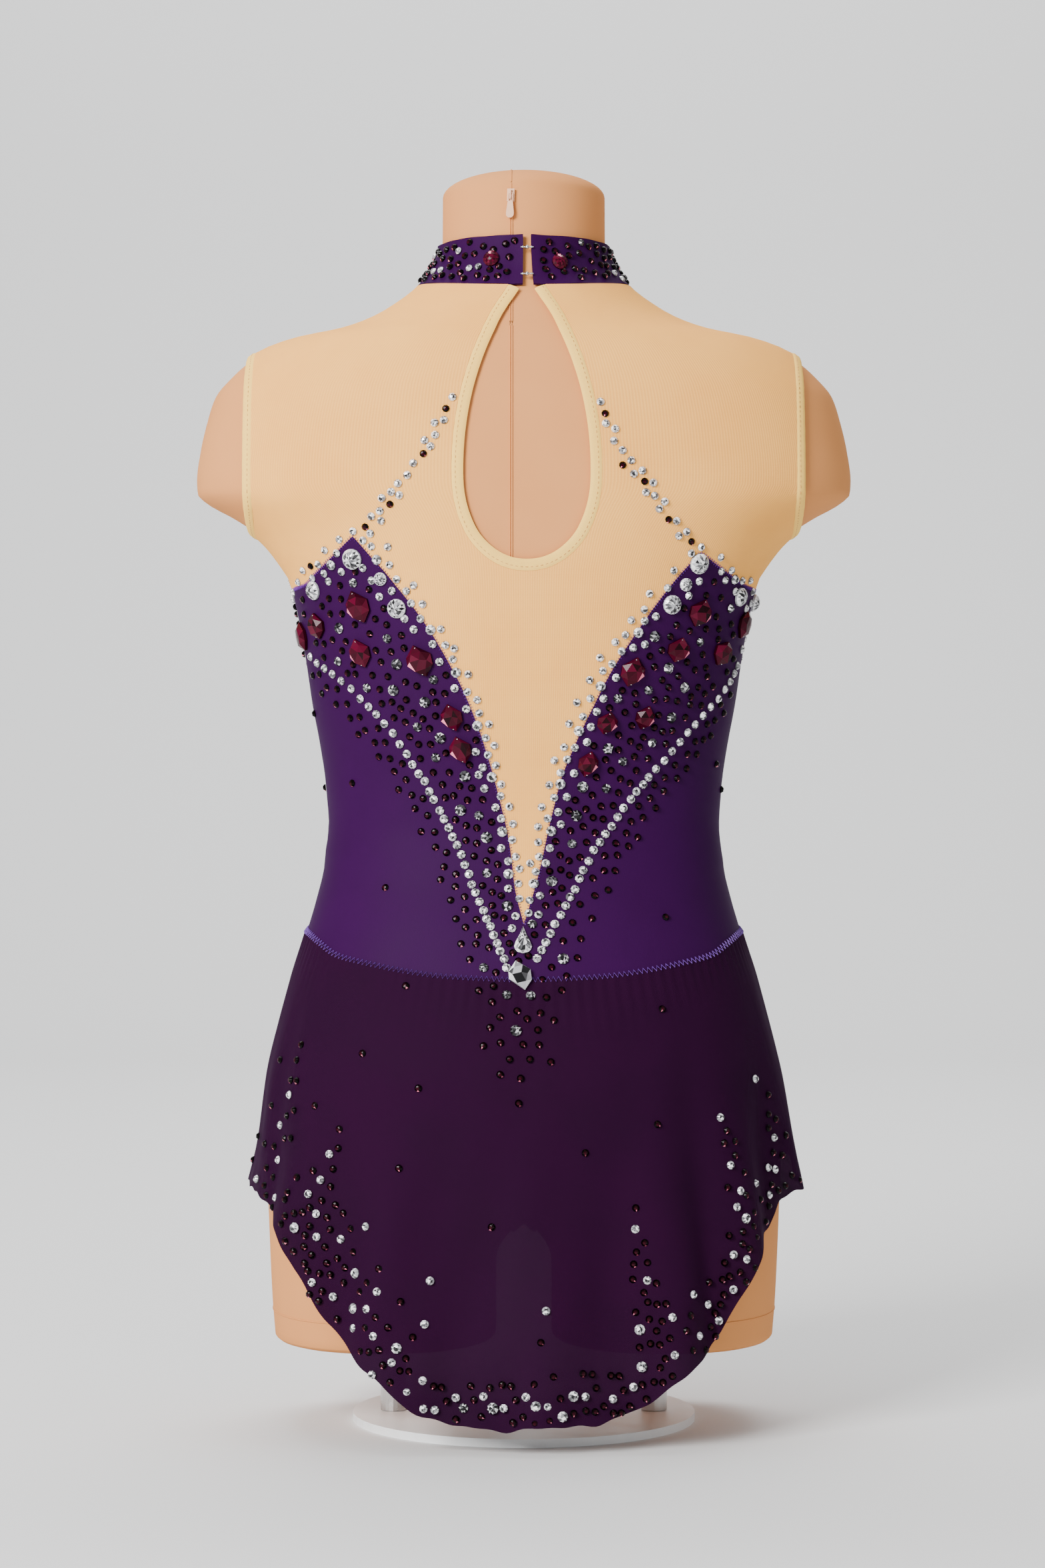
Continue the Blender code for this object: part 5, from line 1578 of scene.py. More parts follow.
def garnet_tones(chance: random.Random) -> Callable[[int, int], float]:
    """Tones of a small garnet stone: nearly black, its own colour, with a painted glint on one facet low on its crown.
    """
    glint = chance.choice((0.0, 0.62, 0.75, 0.95, 1.0))
    spot = chance.choice((11, 12, 13, 14, 15))

    def tone(ring: int, place: int) -> float:
        """Tone of one facet."""
        # one crown facet carries the painted glint
        if ring == 1 and place == spot:
            return glint
        if ring >= 3:
            return 0.16 if 4 <= place <= 6 else 0.05
        return 0.0

    return tone


def cosmic_tones(chance: random.Random) -> Callable[[int, int], float]:
    """Tones of a large garnet stone: deep red planes painted lighter and darker as reflections, and a painted pink
    highlight low on one side.
    """

    def tone(ring: int, place: int) -> float:
        """Tone of one facet."""
        if ring == 0:
            return 0.10
        if ring < 3:
            # facets 6 and 7 carry the painted pink highlight; the others get painted reflection of differing strength
            return 1.0 if place in (6, 7) else chance.uniform(0.10, 0.52)
        return chance.choice((0.05, 0.18, 0.30, 0.42, 0.50, 0.24))

    return tone


@dataclass
class LargeStones:
    """Sewn-on stones, each in the place of its own node."""

    rows: Sequence[tuple[str, float, float, float, float, float, Stone]] = (
        ("cosmic_left_a", -0.0972, 0.4956, 0.0165, 0.0205, 14, Stone.GARNET),
        ("cosmic_left_b", -0.1219, 0.4854, 0.0150, 0.0160, 2, Stone.GARNET),
        ("cosmic_left_c", -0.0960, 0.4682, 0.0150, 0.0180, 12, Stone.GARNET),
        ("cosmic_left_d", -0.0610, 0.4631, 0.0165, 0.0200, 14, Stone.GARNET),
        ("cosmic_left_e", -0.0424, 0.4296, 0.0135, 0.0170, 10, Stone.GARNET),
        ("cosmic_left_f", -0.0373, 0.4105, 0.0135, 0.0170, 12, Stone.GARNET),
        ("cosmic_left_side", -0.1310, 0.4800, 0.0140, 0.0180, 8, Stone.GARNET),
        ("cosmic_right_a", 0.1035, 0.4921, 0.0165, 0.0175, -12, Stone.GARNET),
        ("cosmic_right_b", 0.1170, 0.4687, 0.0165, 0.0165, -20, Stone.GARNET),
        ("cosmic_right_c", 0.0907, 0.4700, 0.0155, 0.0155, -8, Stone.GARNET),
        ("cosmic_right_d", 0.0638, 0.4566, 0.0155, 0.0185, -10, Stone.GARNET),
        ("cosmic_right_e", 0.0490, 0.4263, 0.0130, 0.0140, -10, Stone.GARNET),
        ("cosmic_right_f", 0.0711, 0.4297, 0.0125, 0.0150, -12, Stone.GARNET),
        ("cosmic_right_g", 0.0378, 0.4021, 0.0125, 0.0160, -8, Stone.GARNET),
        ("cosmic_right_side", 0.1300, 0.4870, 0.0140, 0.0180, -8, Stone.GARNET),
        ("round_left_a", -0.1008, 0.5240, 0.0125, 0.0125, 0, Stone.CLEAR),
        ("round_left_b", -0.1241, 0.5065, 0.0115, 0.0115, 0, Stone.CLEAR),
        ("round_left_c", -0.0744, 0.4940, 0.0115, 0.0115, 0, Stone.CLEAR),
        ("round_left_d", -0.0840, 0.5115, 0.0080, 0.0080, 0, Stone.CLEAR),
        ("round_right_a", 0.1030, 0.5215, 0.0125, 0.0125, 0, Stone.CLEAR),
        ("round_right_b", 0.0868, 0.4965, 0.0115, 0.0115, 0, Stone.CLEAR),
        ("round_right_c", 0.1280, 0.5030, 0.0115, 0.0115, 0, Stone.CLEAR),
        ("round_right_d", 0.0950, 0.5085, 0.0080, 0.0080, 0, Stone.CLEAR),
        ("round_right_side", 0.1372, 0.5010, 0.0110, 0.0110, 0, Stone.CLEAR),
        ("pear", -0.0005, 0.2965, 0.0105, 0.0165, 0, Stone.CLEAR),
        ("cosmic_waist", -0.0023, 0.2755, 0.0140, 0.0185, 10, Stone.CLEAR),
        ("round_collar_left", -0.0185, 0.7040, 0.0100, 0.0100, 0, Stone.GARNET),
        ("round_collar_right", 0.0205, 0.7020, 0.0100, 0.0100, 0, Stone.GARNET),
    )
    rise: float = 0.0046
    eye: float = 0.00055
    seed: int = 700

    def build(self) -> None:
        """Make every large stone."""
        for i, row in enumerate(self.rows):
            self.stone(i, *row)

    def stone(self, number: int, name: str, x: float, height: float, width: float, length: float, tilt: float,
              colour: Stone) -> None:
        """One stone with its thread eyes.

        Args:
            number: its place in the table, which seeds its tones.
            name: its name without the first word, starting with its cut.
            x: its x on the back.
            height: its height.
            width: its width.
            length: its length.
            tilt: its turn on the cloth, in degrees.
            colour: clear or garnet.
        """
        chance = random.Random(self.seed + number)
        cut = Cut(name.split("_")[0])
        node = "stone_" + name
        turn = FIGURE.turn_at(x, np.array([height]))[0]
        lift = OUTER
        if height > COLLAR_BACK:
            lift = COLLAR_OUTER
        if name == "cosmic_waist":
            lift = SKIRT_UNDER + SKIRT_WALL
        here = seat(FIGURE, turn, height, lift, math.radians(tilt), max(width, length) / 2)
        outline = OUTLINES[cut]
        if cut is Cut.COSMIC and x > 0:
            outline = outline * (-1, 1)
        shape = {Cut.ROUND: DOME_CUT, Cut.COSMIC: STEP_CUT, Cut.PEAR: PEAR_CUT}[cut]
        clear = colour is Stone.CLEAR
        tones = fancy_tones(chance) if clear else cosmic_tones(chance)
        rise = self.rise * (0.75 if width < 0.011 else 1.0)
        parts = MeshParts()
        shape.gather(parts, here, outline, width, length, rise, tones)
        made = add_piece(node + "_facets", parts, CLEAR if clear else GARNET, flat=True)
        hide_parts(node)
        if cut is not Cut.COSMIC:
            return
        eyes = MeshParts()
        for sign in (1, -1):
            spot = here[3] + here[1] * sign * length * 0.40 + here[2] * rise * 0.52
            add_ball(eyes, spot, self.eye, 8, 5)
        add_piece(node + "_eyes", eyes, STEEL)


@dataclass
class StoneField:
    """Small glued stones that touch neither each other nor the large ones."""

    clear: MeshParts = field(default_factory=MeshParts)
    garnet: MeshParts = field(default_factory=MeshParts)
    chance: random.Random = field(default_factory=lambda: random.Random(41))
    middles: list[Places] = field(default_factory=list)
    reaches: list[float] = field(default_factory=list)
    overlap: float = 0.0003
    rise_share: float = 0.42
    laid: int = 0

    def keep_off(self, turn: float, height: float, reach: float) -> None:
        """Keep small stones off a round place on the body."""
        self.middles.append(FIGURE.spot(turn, height, OUTER))
        self.reaches.append(reach)

    def lay(self, surface: Surface, turn: float, height: float, size: float, colour: Stone, lift: float) -> bool:
        """Lay one stone where it fits.

        Args:
            surface: what it lies on.
            turn: its turn.
            height: its height.
            size: its diameter.
            colour: clear, smoky or garnet.
            lift: the cloth's outer face above the surface.

        Returns:
            Whether it was laid.
        """
        spot = surface.spot(turn, height, lift)
        if self.middles:
            gaps = np.linalg.norm(np.array(self.middles) - spot, axis=1) - np.array(self.reaches)
            if gaps.min() < size / 2 - self.overlap:
                return False
        self.middles.append(spot)
        self.reaches.append(size / 2)
        here = seat(surface, turn, height, lift, self.chance.uniform(-0.25, 0.25), size / 2)
        tones = {Stone.CLEAR: clear_tones, Stone.SMOKE: smoke_tones, Stone.GARNET: garnet_tones}[colour](self.chance)
        parts = self.garnet if colour is Stone.GARNET else self.clear
        SMALL.gather(parts, here, SMALL_ROUND, size, size, size * self.rise_share, tones)
        self.laid += 1
        return True

    def finish(self, name: str) -> None:
        """Make the clear and the garnet piece."""
        add_piece(name + "_clear", self.clear, CLEAR, flat=True)
        add_piece(name + "_garnet", self.garnet, GARNET, flat=True)
        LOG.info("%s: %d small stones", name, self.laid)


Spot = tuple[int, int]


@dataclass
class SmallStones:
    """All small stones, each where it lies, by its turn in tenths of a degree and its height in tenths of a mm."""

    chain: Sequence[Spot] = (
        (-857, 4816), (-857, 4771), (-947, 4729), (-706, 4672), (-654, 4630), (-608, 4597), (-568, 4561), (-530, 4519),
        (-492, 4471), (-462, 4411), (-435, 4363), (-412, 4318), (-390, 4261), (-366, 4204), (-349, 4138), (-330, 4080),
        (-316, 4017), (-299, 3960), (-282, 3915), (-270, 3852), (-258, 3804), (-241, 3738), (-229, 3687), (-215, 3633),
        (-204, 3576), (-190, 3525), (-177, 3468), (-166, 3408), (-153, 3351), (-144, 3288), (-132, 3240), (-120, 3186),
        (-107, 3135), (-98, 3086), (-87, 3044), (-78, 2993), (-68, 2945), (-60, 2900), (-49, 2855), (-43, 2804),
        (971, 4798), (757, 4720), (990, 4681), (726, 4618), (700, 4570), (671, 4519), (638, 4471), (604, 4414),
        (568, 4366), (537, 4312), (508, 4258), (483, 4210), (458, 4153), (432, 4098), (409, 4041), (383, 3990),
        (361, 3939), (345, 3894), (325, 3852), (309, 3807), (287, 3753), (270, 3699), (253, 3642), (234, 3594),
        (217, 3543), (198, 3495), (183, 3429), (166, 3375), (154, 3324), (140, 3258), (125, 3213), (112, 3162),
        (98, 3108), (81, 3056), (69, 3002), (56, 2951), (45, 2906), (33, 2858), (19, 2801),
    )
    body_dark: Sequence[Spot] = (
        (-417, 5165), (-478, 5086), (-388, 5056), (-681, 5017), (-530, 5011), (-483, 5005), (-568, 4969), (-353, 4942),
        (-537, 4921), (-489, 4918), (-698, 4930), (-382, 4882), (-351, 4846), (-449, 4852), (-405, 4795), (-313, 4783),
        (-546, 4765), (-639, 4753), (-591, 4744), (-491, 4753), (-725, 4747), (-392, 4696), (-347, 4687), (-309, 4708),
        (-510, 4699), (-380, 4627), (-474, 4615), (-296, 4564), (-604, 4663), (-500, 4564), (-470, 4558), (-411, 4549),
        (-363, 4540), (-202, 4546), (-313, 4507), (-282, 4483), (-392, 4465), (-555, 4471), (-612, 4483), (-651, 4564),
        (-713, 4558), (-240, 4447), (-208, 4438), (-315, 4402), (-233, 4387), (-358, 4390), (-390, 4381), (-571, 4381),
        (-518, 4381), (-334, 4351), (-299, 4324), (-237, 4306), (-273, 4288), (-357, 4297), (-325, 4270), (-475, 4303),
        (-514, 4297), (-257, 4231), (-154, 4237), (-317, 4183), (-413, 4234), (-462, 4222), (-491, 4198), (-131, 4162),
        (-258, 4138), (-396, 4150), (-432, 4150), (-292, 4138), (-216, 4086), (-190, 4041), (-291, 4053), (-386, 4053),
        (-424, 4065), (-347, 4023), (-152, 4014), (-256, 3969), (-210, 3969), (-376, 3975), (-340, 3924), (-231, 3894),
        (-182, 3885), (-148, 3873), (-366, 3864), (-324, 3831), (-200, 3828), (-224, 3816), (-290, 3810), (-161, 3801),
        (-118, 3804), (-548, 3903), (-860, 3876), (-788, 4330), (-651, 4447), (-890, 4990), (-857, 4942), (-859, 4882),
        (-859, 4696), (-990, 4645), (-564, 5216), (-334, 5426), (-316, 3750), (-278, 3708), (-196, 3684), (-93, 3669),
        (-165, 3648), (-135, 3633), (-298, 3609), (-257, 3606), (-166, 3555), (-135, 3537), (-253, 3513), (-220, 3480),
        (-141, 3459), (-93, 3495), (-106, 3432), (-74, 3411), (-225, 3396), (-190, 3351), (-232, 3318), (-74, 3321),
        (-189, 3276), (-114, 3282), (-198, 3195), (-161, 3216), (-87, 3243), (-62, 3222), (-157, 3141), (-85, 3165),
        (-179, 3086), (-125, 3083), (-78, 3108), (-53, 3092), (-152, 3038), (-119, 2993), (-52, 3005), (-160, 2942),
        (-122, 2942), (-89, 2921), (-37, 2945), (-28, 2891), (-135, 2852), (-69, 2777), (-14, 2843), (-396, 3267),
        (146, 3801), (128, 3738), (177, 3747), (220, 3765), (256, 3768), (334, 3765), (391, 3753), (198, 3696),
        (227, 3687), (169, 3642), (311, 3672), (349, 3696), (133, 3615), (204, 3603), (296, 3600), (332, 3573),
        (90, 3549), (178, 3543), (263, 3537), (301, 3519), (102, 3465), (158, 3453), (127, 3432), (229, 3462),
        (266, 3465), (72, 3369), (103, 3378), (127, 3345), (225, 3372), (256, 3372), (191, 3327), (104, 3267),
        (78, 3243), (231, 3255), (192, 3222), (58, 3165), (91, 3177), (150, 3171), (56, 3053), (127, 3065), (179, 3089),
        (27, 2996), (100, 2960), (145, 2972), (11, 2873), (133, 2861), (68, 2807), (104, 2756), (45, 2735), (388, 3092),
        (370, 3813), (194, 3831), (270, 3846), (304, 3903), (382, 3891), (320, 3981), (274, 3930), (245, 3981),
        (227, 4047), (311, 4065), (354, 4053), (204, 3939), (417, 3855), (417, 3936), (383, 5336), (296, 5456),
        (499, 5108), (479, 5026), (539, 5017), (413, 4945), (534, 4903), (397, 4846), (500, 4828), (556, 4831),
        (442, 4813), (382, 4777), (617, 4864), (560, 4768), (642, 4801), (361, 4696), (501, 4675), (328, 4660),
        (344, 4597), (446, 4627), (478, 4582), (521, 4597), (588, 4603), (371, 4519), (421, 4543), (533, 4543),
        (638, 4576), (675, 4657), (259, 4456), (294, 4441), (393, 4477), (499, 4480), (566, 4486), (475, 4423),
        (531, 4441), (227, 4354), (300, 4375), (354, 4402), (390, 4408), (426, 4396), (475, 4375), (522, 4372),
        (271, 4327), (371, 4312), (464, 4300), (694, 4441), (661, 4330), (625, 4381), (606, 4285), (294, 4249),
        (363, 4237), (391, 4213), (424, 4219), (259, 4192), (566, 4261), (598, 4192), (332, 4180), (295, 4156),
        (323, 4123), (407, 4141), (521, 4156), (560, 4168), (192, 4129), (262, 4105), (495, 4080), (537, 4080),
        (450, 4014), (499, 3993), (463, 3933), (675, 4020), (795, 3864),
    )
    body_smoke: Sequence[Spot] = (
        (-432, 5098), (-509, 4834), (-354, 4765), (-334, 4612), (-534, 4636), (-350, 4459), (-434, 4474), (-263, 4387),
        (-291, 4240), (-229, 4174), (-246, 4059), (-166, 3945), (-236, 4519), (-181, 3741), (-129, 3708), (-107, 3573),
        (-104, 3357), (-45, 3162), (-99, 2804), (150, 3708), (137, 3534), (77, 3309), (22, 3056), (98, 2855),
        (234, 3870), (166, 3879), (278, 4035), (233, 4111), (594, 4957), (336, 4777), (484, 4750), (387, 4591),
        (333, 4459), (447, 4477), (248, 4408), (414, 4297), (362, 4147), (445, 4744), (987, 4894),
    )
    body_clear: Sequence[Spot] = (
        (-374, 5402), (-361, 5357), (-418, 5357), (-478, 5300), (-344, 5309), (-446, 5279), (-305, 5303), (-317, 5198),
        (-524, 5165), (-460, 5168), (-391, 5186), (-583, 5141), (-517, 5114), (-529, 5222), (-614, 5195), (-973, 5156),
        (-681, 5126), (-376, 5108), (-361, 5011), (-325, 5044), (-287, 5041), (-308, 5111), (-267, 5074), (-278, 4969),
        (-249, 4963), (-300, 4879), (-258, 4879), (-278, 4816), (-208, 4816), (-232, 4729), (-199, 4723), (-177, 4702),
        (-182, 4639), (-217, 4624), (-144, 4549), (-181, 4468), (-148, 4447), (-123, 4399), (-153, 4345), (-119, 4321),
        (-94, 4255), (-104, 4174), (-81, 4129), (-133, 4092), (-99, 4074), (-115, 3999), (-78, 4011), (-127, 3954),
        (-64, 3894), (-112, 3870), (-66, 3825), (-334, 5384), (-777, 5068), (-864, 5035), (-81, 3756), (-41, 3762),
        (-65, 3690), (-31, 3657), (-33, 3558), (-65, 3507), (-23, 3456), (-44, 3429), (-12, 3384), (-15, 3294),
        (-43, 3264), (-12, 3204), (-22, 3102), (-31, 3032), (51, 3759), (98, 3729), (68, 3690), (106, 3654), (41, 3639),
        (41, 3543), (74, 3507), (43, 3456), (18, 3417), (62, 3417), (33, 3366), (15, 3195), (44, 3222), (12, 3120),
        (39, 3111), (86, 3816), (122, 3819), (72, 3891), (103, 3966), (85, 4041), (120, 4047), (141, 3963), (340, 5384),
        (355, 5399), (316, 5456), (397, 5282), (414, 5315), (397, 5246), (484, 5258), (404, 5189), (363, 5168),
        (512, 5177), (551, 5189), (446, 5108), (541, 5123), (627, 5129), (685, 5135), (421, 5020), (355, 5062),
        (309, 5026), (602, 5059), (300, 4933), (304, 4867), (269, 4870), (333, 4894), (342, 4855), (386, 4882),
        (257, 4783), (232, 4741), (250, 4687), (280, 4708), (311, 4729), (195, 4648), (227, 4612), (204, 4570),
        (240, 4531), (171, 4516), (175, 4408), (210, 4408), (140, 4384), (194, 4330), (158, 4300), (122, 4258),
        (181, 4240), (173, 4150), (111, 4120), (140, 4117), (743, 5071), (815, 5044), (757, 5002), (710, 4966),
    )
    body_clear_large: Sequence[Spot] = (
        (-344, 5231), (-234, 4813), (-175, 4561), (-125, 4246), (-90, 3939), (-483, 5213), (-62, 3609), (-43, 3351),
        (78, 3612), (27, 3294), (103, 3897), (290, 4798), (200, 4480), (149, 4216), (583, 5132),
    )
    skirt_dark: Sequence[Spot] = (
        (-562, 2337), (-665, 2234), (-568, 2246), (-580, 2127), (-550, 2127), (-473, 1991), (-543, 1954), (-581, 1915),
        (-681, 1960), (-404, 1863), (-583, 1778), (-541, 1790), (-651, 1720), (-403, 1751), (-671, 1587), (-410, 1629),
        (-400, 1635), (-455, 1614), (-492, 1569), (-632, 1538), (-410, 1526), (-511, 1477), (-516, 1435), (-425, 1444),
        (-395, 1420), (-449, 1401), (-605, 1326), (-483, 1362), (-507, 1341), (-464, 1371), (-410, 1347), (-376, 1374),
        (-517, 1292), (-444, 1292), (-401, 1277), (-354, 1286), (-452, 1238), (-498, 1195), (-409, 1174), (-474, 1140),
        (-452, 1171), (-434, 1125), (-421, 1113), (-382, 1110), (-403, 1080), (-447, 1074), (-363, 1058), (-415, 1019),
        (-439, 1031), (-394, 1013), (-276, 1070), (-363, 970), (-299, 985), (-407, 916), (-315, 928), (-431, 891),
        (-412, 858), (-232, 885), (-373, 758), (-276, 791), (-252, 736), (-296, 727), (-303, 591), (-285, 591),
        (-266, 606), (-208, 682), (-218, 560), (-257, 521), (-227, 490), (-212, 487), (-243, 424), (-168, 402),
        (-154, 396), (-99, 405), (-62, 399), (-39, 418), (-144, 317), (-92, 326), (-126, 214), (-78, 232), (-342, 1152),
        (-254, 1651), (-63, 1319), (-224, 2115), (-51, 2197), (-364, 2306), (-699, 1726), (-781, 1757), (-861, 1596),
        (-665, 1483), (-650, 1411), (-11, 2033), (-7, 2176), (279, 1903), (126, 1745), (223, 1423), (236, 1222),
        (220, 1168), (239, 1107), (214, 1098), (211, 1010), (252, 988), (230, 934), (236, 879), (251, 867), (266, 870),
        (214, 821), (237, 782), (258, 770), (248, 715), (269, 673), (237, 642), (252, 636), (218, 621), (312, 797),
        (300, 712), (31, 661), (312, 597), (349, 585), (260, 557), (270, 457), (240, 424), (254, 421), (220, 408),
        (226, 326), (163, 460), (179, 457), (187, 375), (197, 284), (181, 245), (166, 245), (147, 287), (108, 478),
        (126, 472), (133, 393), (112, 266), (130, 257), (89, 254), (65, 342), (53, 466), (19, 424), (-23, 412),
        (-14, 333), (-1, 238), (-19, 205), (45, 217), (20, 202), (446, 1848), (436, 1778), (465, 1784), (459, 1702),
        (476, 1599), (428, 1520), (439, 1547), (634, 1915), (665, 1881), (629, 1833), (702, 1778), (641, 1684),
        (674, 1663), (983, 1587), (695, 1538), (727, 1502), (663, 1483), (611, 1496), (635, 1459), (528, 1429),
        (468, 1468), (578, 1377), (483, 1365), (544, 1292), (476, 1286), (447, 1259), (419, 1241), (482, 1219),
        (443, 1189), (459, 1156), (407, 1083), (433, 1025), (468, 1031), (413, 1004), (401, 985), (443, 967),
        (374, 970), (401, 897), (394, 840), (370, 712), (380, 654), (382, 791), (640, 2030), (251, 506), (-285, 2694),
        (-108, 2670), (-73, 2695), (-75, 2607), (53, 2632), (90, 2672), (-16, 2558), (38, 2547), (-55, 2524), (7, 2514),
        (68, 2506), (-76, 2466), (31, 2452), (-89, 2361), (-52, 2379), (-2, 2369), (33, 2367), (-31, 2284), (13, 2284),
        (58, 2269), (-50, 2195), (-7, 2176), (-10, 2029), (-224, 2116), (323, 2564), (279, 1904),
    )
    skirt_smoke: Sequence[Spot] = (
        (-112, 278), (-56, 281), (16, 2643), (-18, 2448), (-41, 2647),
    )
    skirt_clear: Sequence[Spot] = (
        (-578, 2039), (-626, 1851), (-701, 1690), (-620, 1644), (-422, 1714), (-434, 1562), (-710, 1511), (-456, 1477),
        (-462, 1450), (-586, 1426), (-433, 1365), (-312, 1307), (-427, 1231), (-377, 1222), (-276, 937), (-385, 885),
        (-428, 964), (-296, 834), (-327, 715), (-278, 682), (-242, 536), (-276, 463), (-188, 433), (-214, 369),
        (-165, 266), (-185, 272), (-127, 336), (-74, 348), (-36, 284), (-181, 1004), (-188, 755), (220, 1301),
        (237, 1004), (322, 913), (276, 791), (276, 576), (240, 506), (205, 393), (166, 326), (112, 345), (42, 296),
        (4, 351), (41, 840), (331, 673), (418, 925), (388, 885), (366, 843), (389, 746), (424, 1128), (398, 1095),
        (449, 1098), (441, 1405), (455, 1496), (443, 1647), (433, 1927), (650, 1772), (608, 1599), (637, 1584),
        (514, 1526), (589, 1441), (578, 2133), (483, 1398),
    )
    skirt_clear_large: Sequence[Spot] = (
        (-477, 1277), (-331, 1031), (-330, 828), (-235, 618), (220, 721), (221, 509), (458, 1335), (89, 351), (22, 299),
        (69, 238),
    )
    yoke_clear: Sequence[Row] = (
        (-0.0420, 0.6176), (-0.0470, 0.6041), (-0.0525, 0.6025), (-0.0521, 0.5953), (-0.0584, 0.5922),
        (-0.0548, 0.5886), (-0.0650, 0.5788), (-0.0685, 0.5718), (-0.0740, 0.5671), (-0.0780, 0.5624),
        (-0.0732, 0.5604), (-0.0835, 0.5590), (-0.0846, 0.5516), (-0.0897, 0.5486), (-0.0838, 0.5458),
        (-0.1004, 0.5403), (-0.0901, 0.5385), (-0.0944, 0.5345), (0.0451, 0.6148), (0.0482, 0.6021),
        (0.0537, 0.5989), (0.0529, 0.5918), (0.0580, 0.5863), (0.0631, 0.5804), (0.0697, 0.5745),
        (0.0646, 0.5725), (0.0760, 0.5675), (0.0717, 0.5620), (0.0768, 0.5601), (0.0827, 0.5570),
        (0.0795, 0.5527), (0.0897, 0.5459), (0.0956, 0.5398), (0.0909, 0.5371), (0.1043, 0.5311),
        (0.0983, 0.5272),
    )
    yoke_dark: Sequence[Row] = ((-0.0459, 0.6108), (-0.0591, 0.5843), (-0.0787, 0.5554), (-0.0921, 0.5424),
                                (0.0478, 0.6079), (0.0580, 0.5776), (0.0709, 0.5682), (0.0850, 0.5466),
                                (0.0984, 0.5340))

    dark_size: float = 0.0045
    chain_size: float = 0.0053
    clear_size: float = 0.0050
    large_size: float = 0.0063
    smoke_sizes: tuple[float, float] = (0.0056, 0.0068)

    def build(self) -> None:
        """Lay every small stone and make the pieces."""
        body = StoneField()
        for _, x, height, width, length, _, _ in LargeStones().rows:
            turn = FIGURE.turn_at(x, np.array([height]))[0]
            body.keep_off(turn, height, (width + length) / 4 * 0.80)
        self.spread(body, FIGURE, self.chain, (self.chain_size,), Stone.CLEAR, OUTER)
        for table, size, colour in ((self.yoke_clear, self.clear_size, Stone.CLEAR),
                                    (self.yoke_dark, self.dark_size, Stone.GARNET)):
            for turn, height in on_back(table):
                body.lay(FIGURE, turn, height, size, colour, OUTER)
        skirt = StoneField(chance=random.Random(57))
        for stones, surface, lift, large, smoke, dark, clear in (
                (body, FIGURE, OUTER, self.body_clear_large, self.body_smoke, self.body_dark, self.body_clear),
                (skirt, SKIRT, SKIRT_WALL, self.skirt_clear_large, self.skirt_smoke, self.skirt_dark,
                 self.skirt_clear)):
            self.spread(stones, surface, large, (self.large_size,), Stone.CLEAR, lift)
            self.spread(stones, surface, smoke, self.smoke_sizes, Stone.SMOKE, lift)
            self.spread(stones, surface, dark, (self.dark_size,), Stone.GARNET, lift)
            self.spread(stones, surface, clear, (self.clear_size,), Stone.CLEAR, lift)
        self.collar(body)
        body.finish("small_stones_body")
        skirt.finish("small_stones_skirt")

    def spread(self, stones: StoneField, surface: Surface, table: Sequence[Spot], sizes: Sequence[float],
               colour: Stone, lift: float) -> None:
        """Lay a table's stones, their sizes in turn.

        Args:
            stones: where they are gathered.
            surface: what they lie on.
            table: turns in tenths of a degree and heights in tenths of a millimetre.
            sizes: diameters, taken in turn.
            colour: clear, smoky or garnet.
            lift: the cloth's outer face above the surface.
        """
        for i, (tenths, level) in enumerate(table):
            turn = math.radians(tenths / 10)
            height = level / 10000
            if surface is SKIRT:
                height = max(height, hem(np.array([turn]))[0] + 0.0026)
                height = min(height, waist(np.array([turn]))[0] - 0.0030)
            stones.lay(surface, turn, height, sizes[i % len(sizes)], colour, lift)

    def collar(self, stones: StoneField) -> None:
        """Close stones over the back of the collar, thinner round its sides."""
        chance = stones.chance
        gap = (SLIT_WIDTH / 2 + 0.0040) / COLLAR_RADIUS
        spacing = 0.0011
        side_turn = 1.9
        placed: list[Places] = []
        for _ in range(2600):
            turn = chance.uniform(-math.pi, math.pi)
            height = chance.uniform(0.6905, COLLAR_TOP - 0.0030)
            low = collar_base(np.array([turn]))[0] + 0.0028
            if abs(turn - OPENING_X / COLLAR_RADIUS) < gap or height < low:
                continue
            if abs(turn) > side_turn and chance.random() < 0.5:
                continue
            spot = FIGURE.spot(turn, height, COLLAR_OUTER)
            if placed and np.linalg.norm(np.array(placed) - spot, axis=1).min() < self.dark_size + spacing:
                continue
            tone = chance.random()
            colour = Stone.CLEAR if tone < 0.15 else Stone.SMOKE if tone < 0.24 else Stone.GARNET
            if stones.lay(FIGURE, turn, height, self.dark_size, colour, COLLAR_OUTER):
                placed.append(spot)


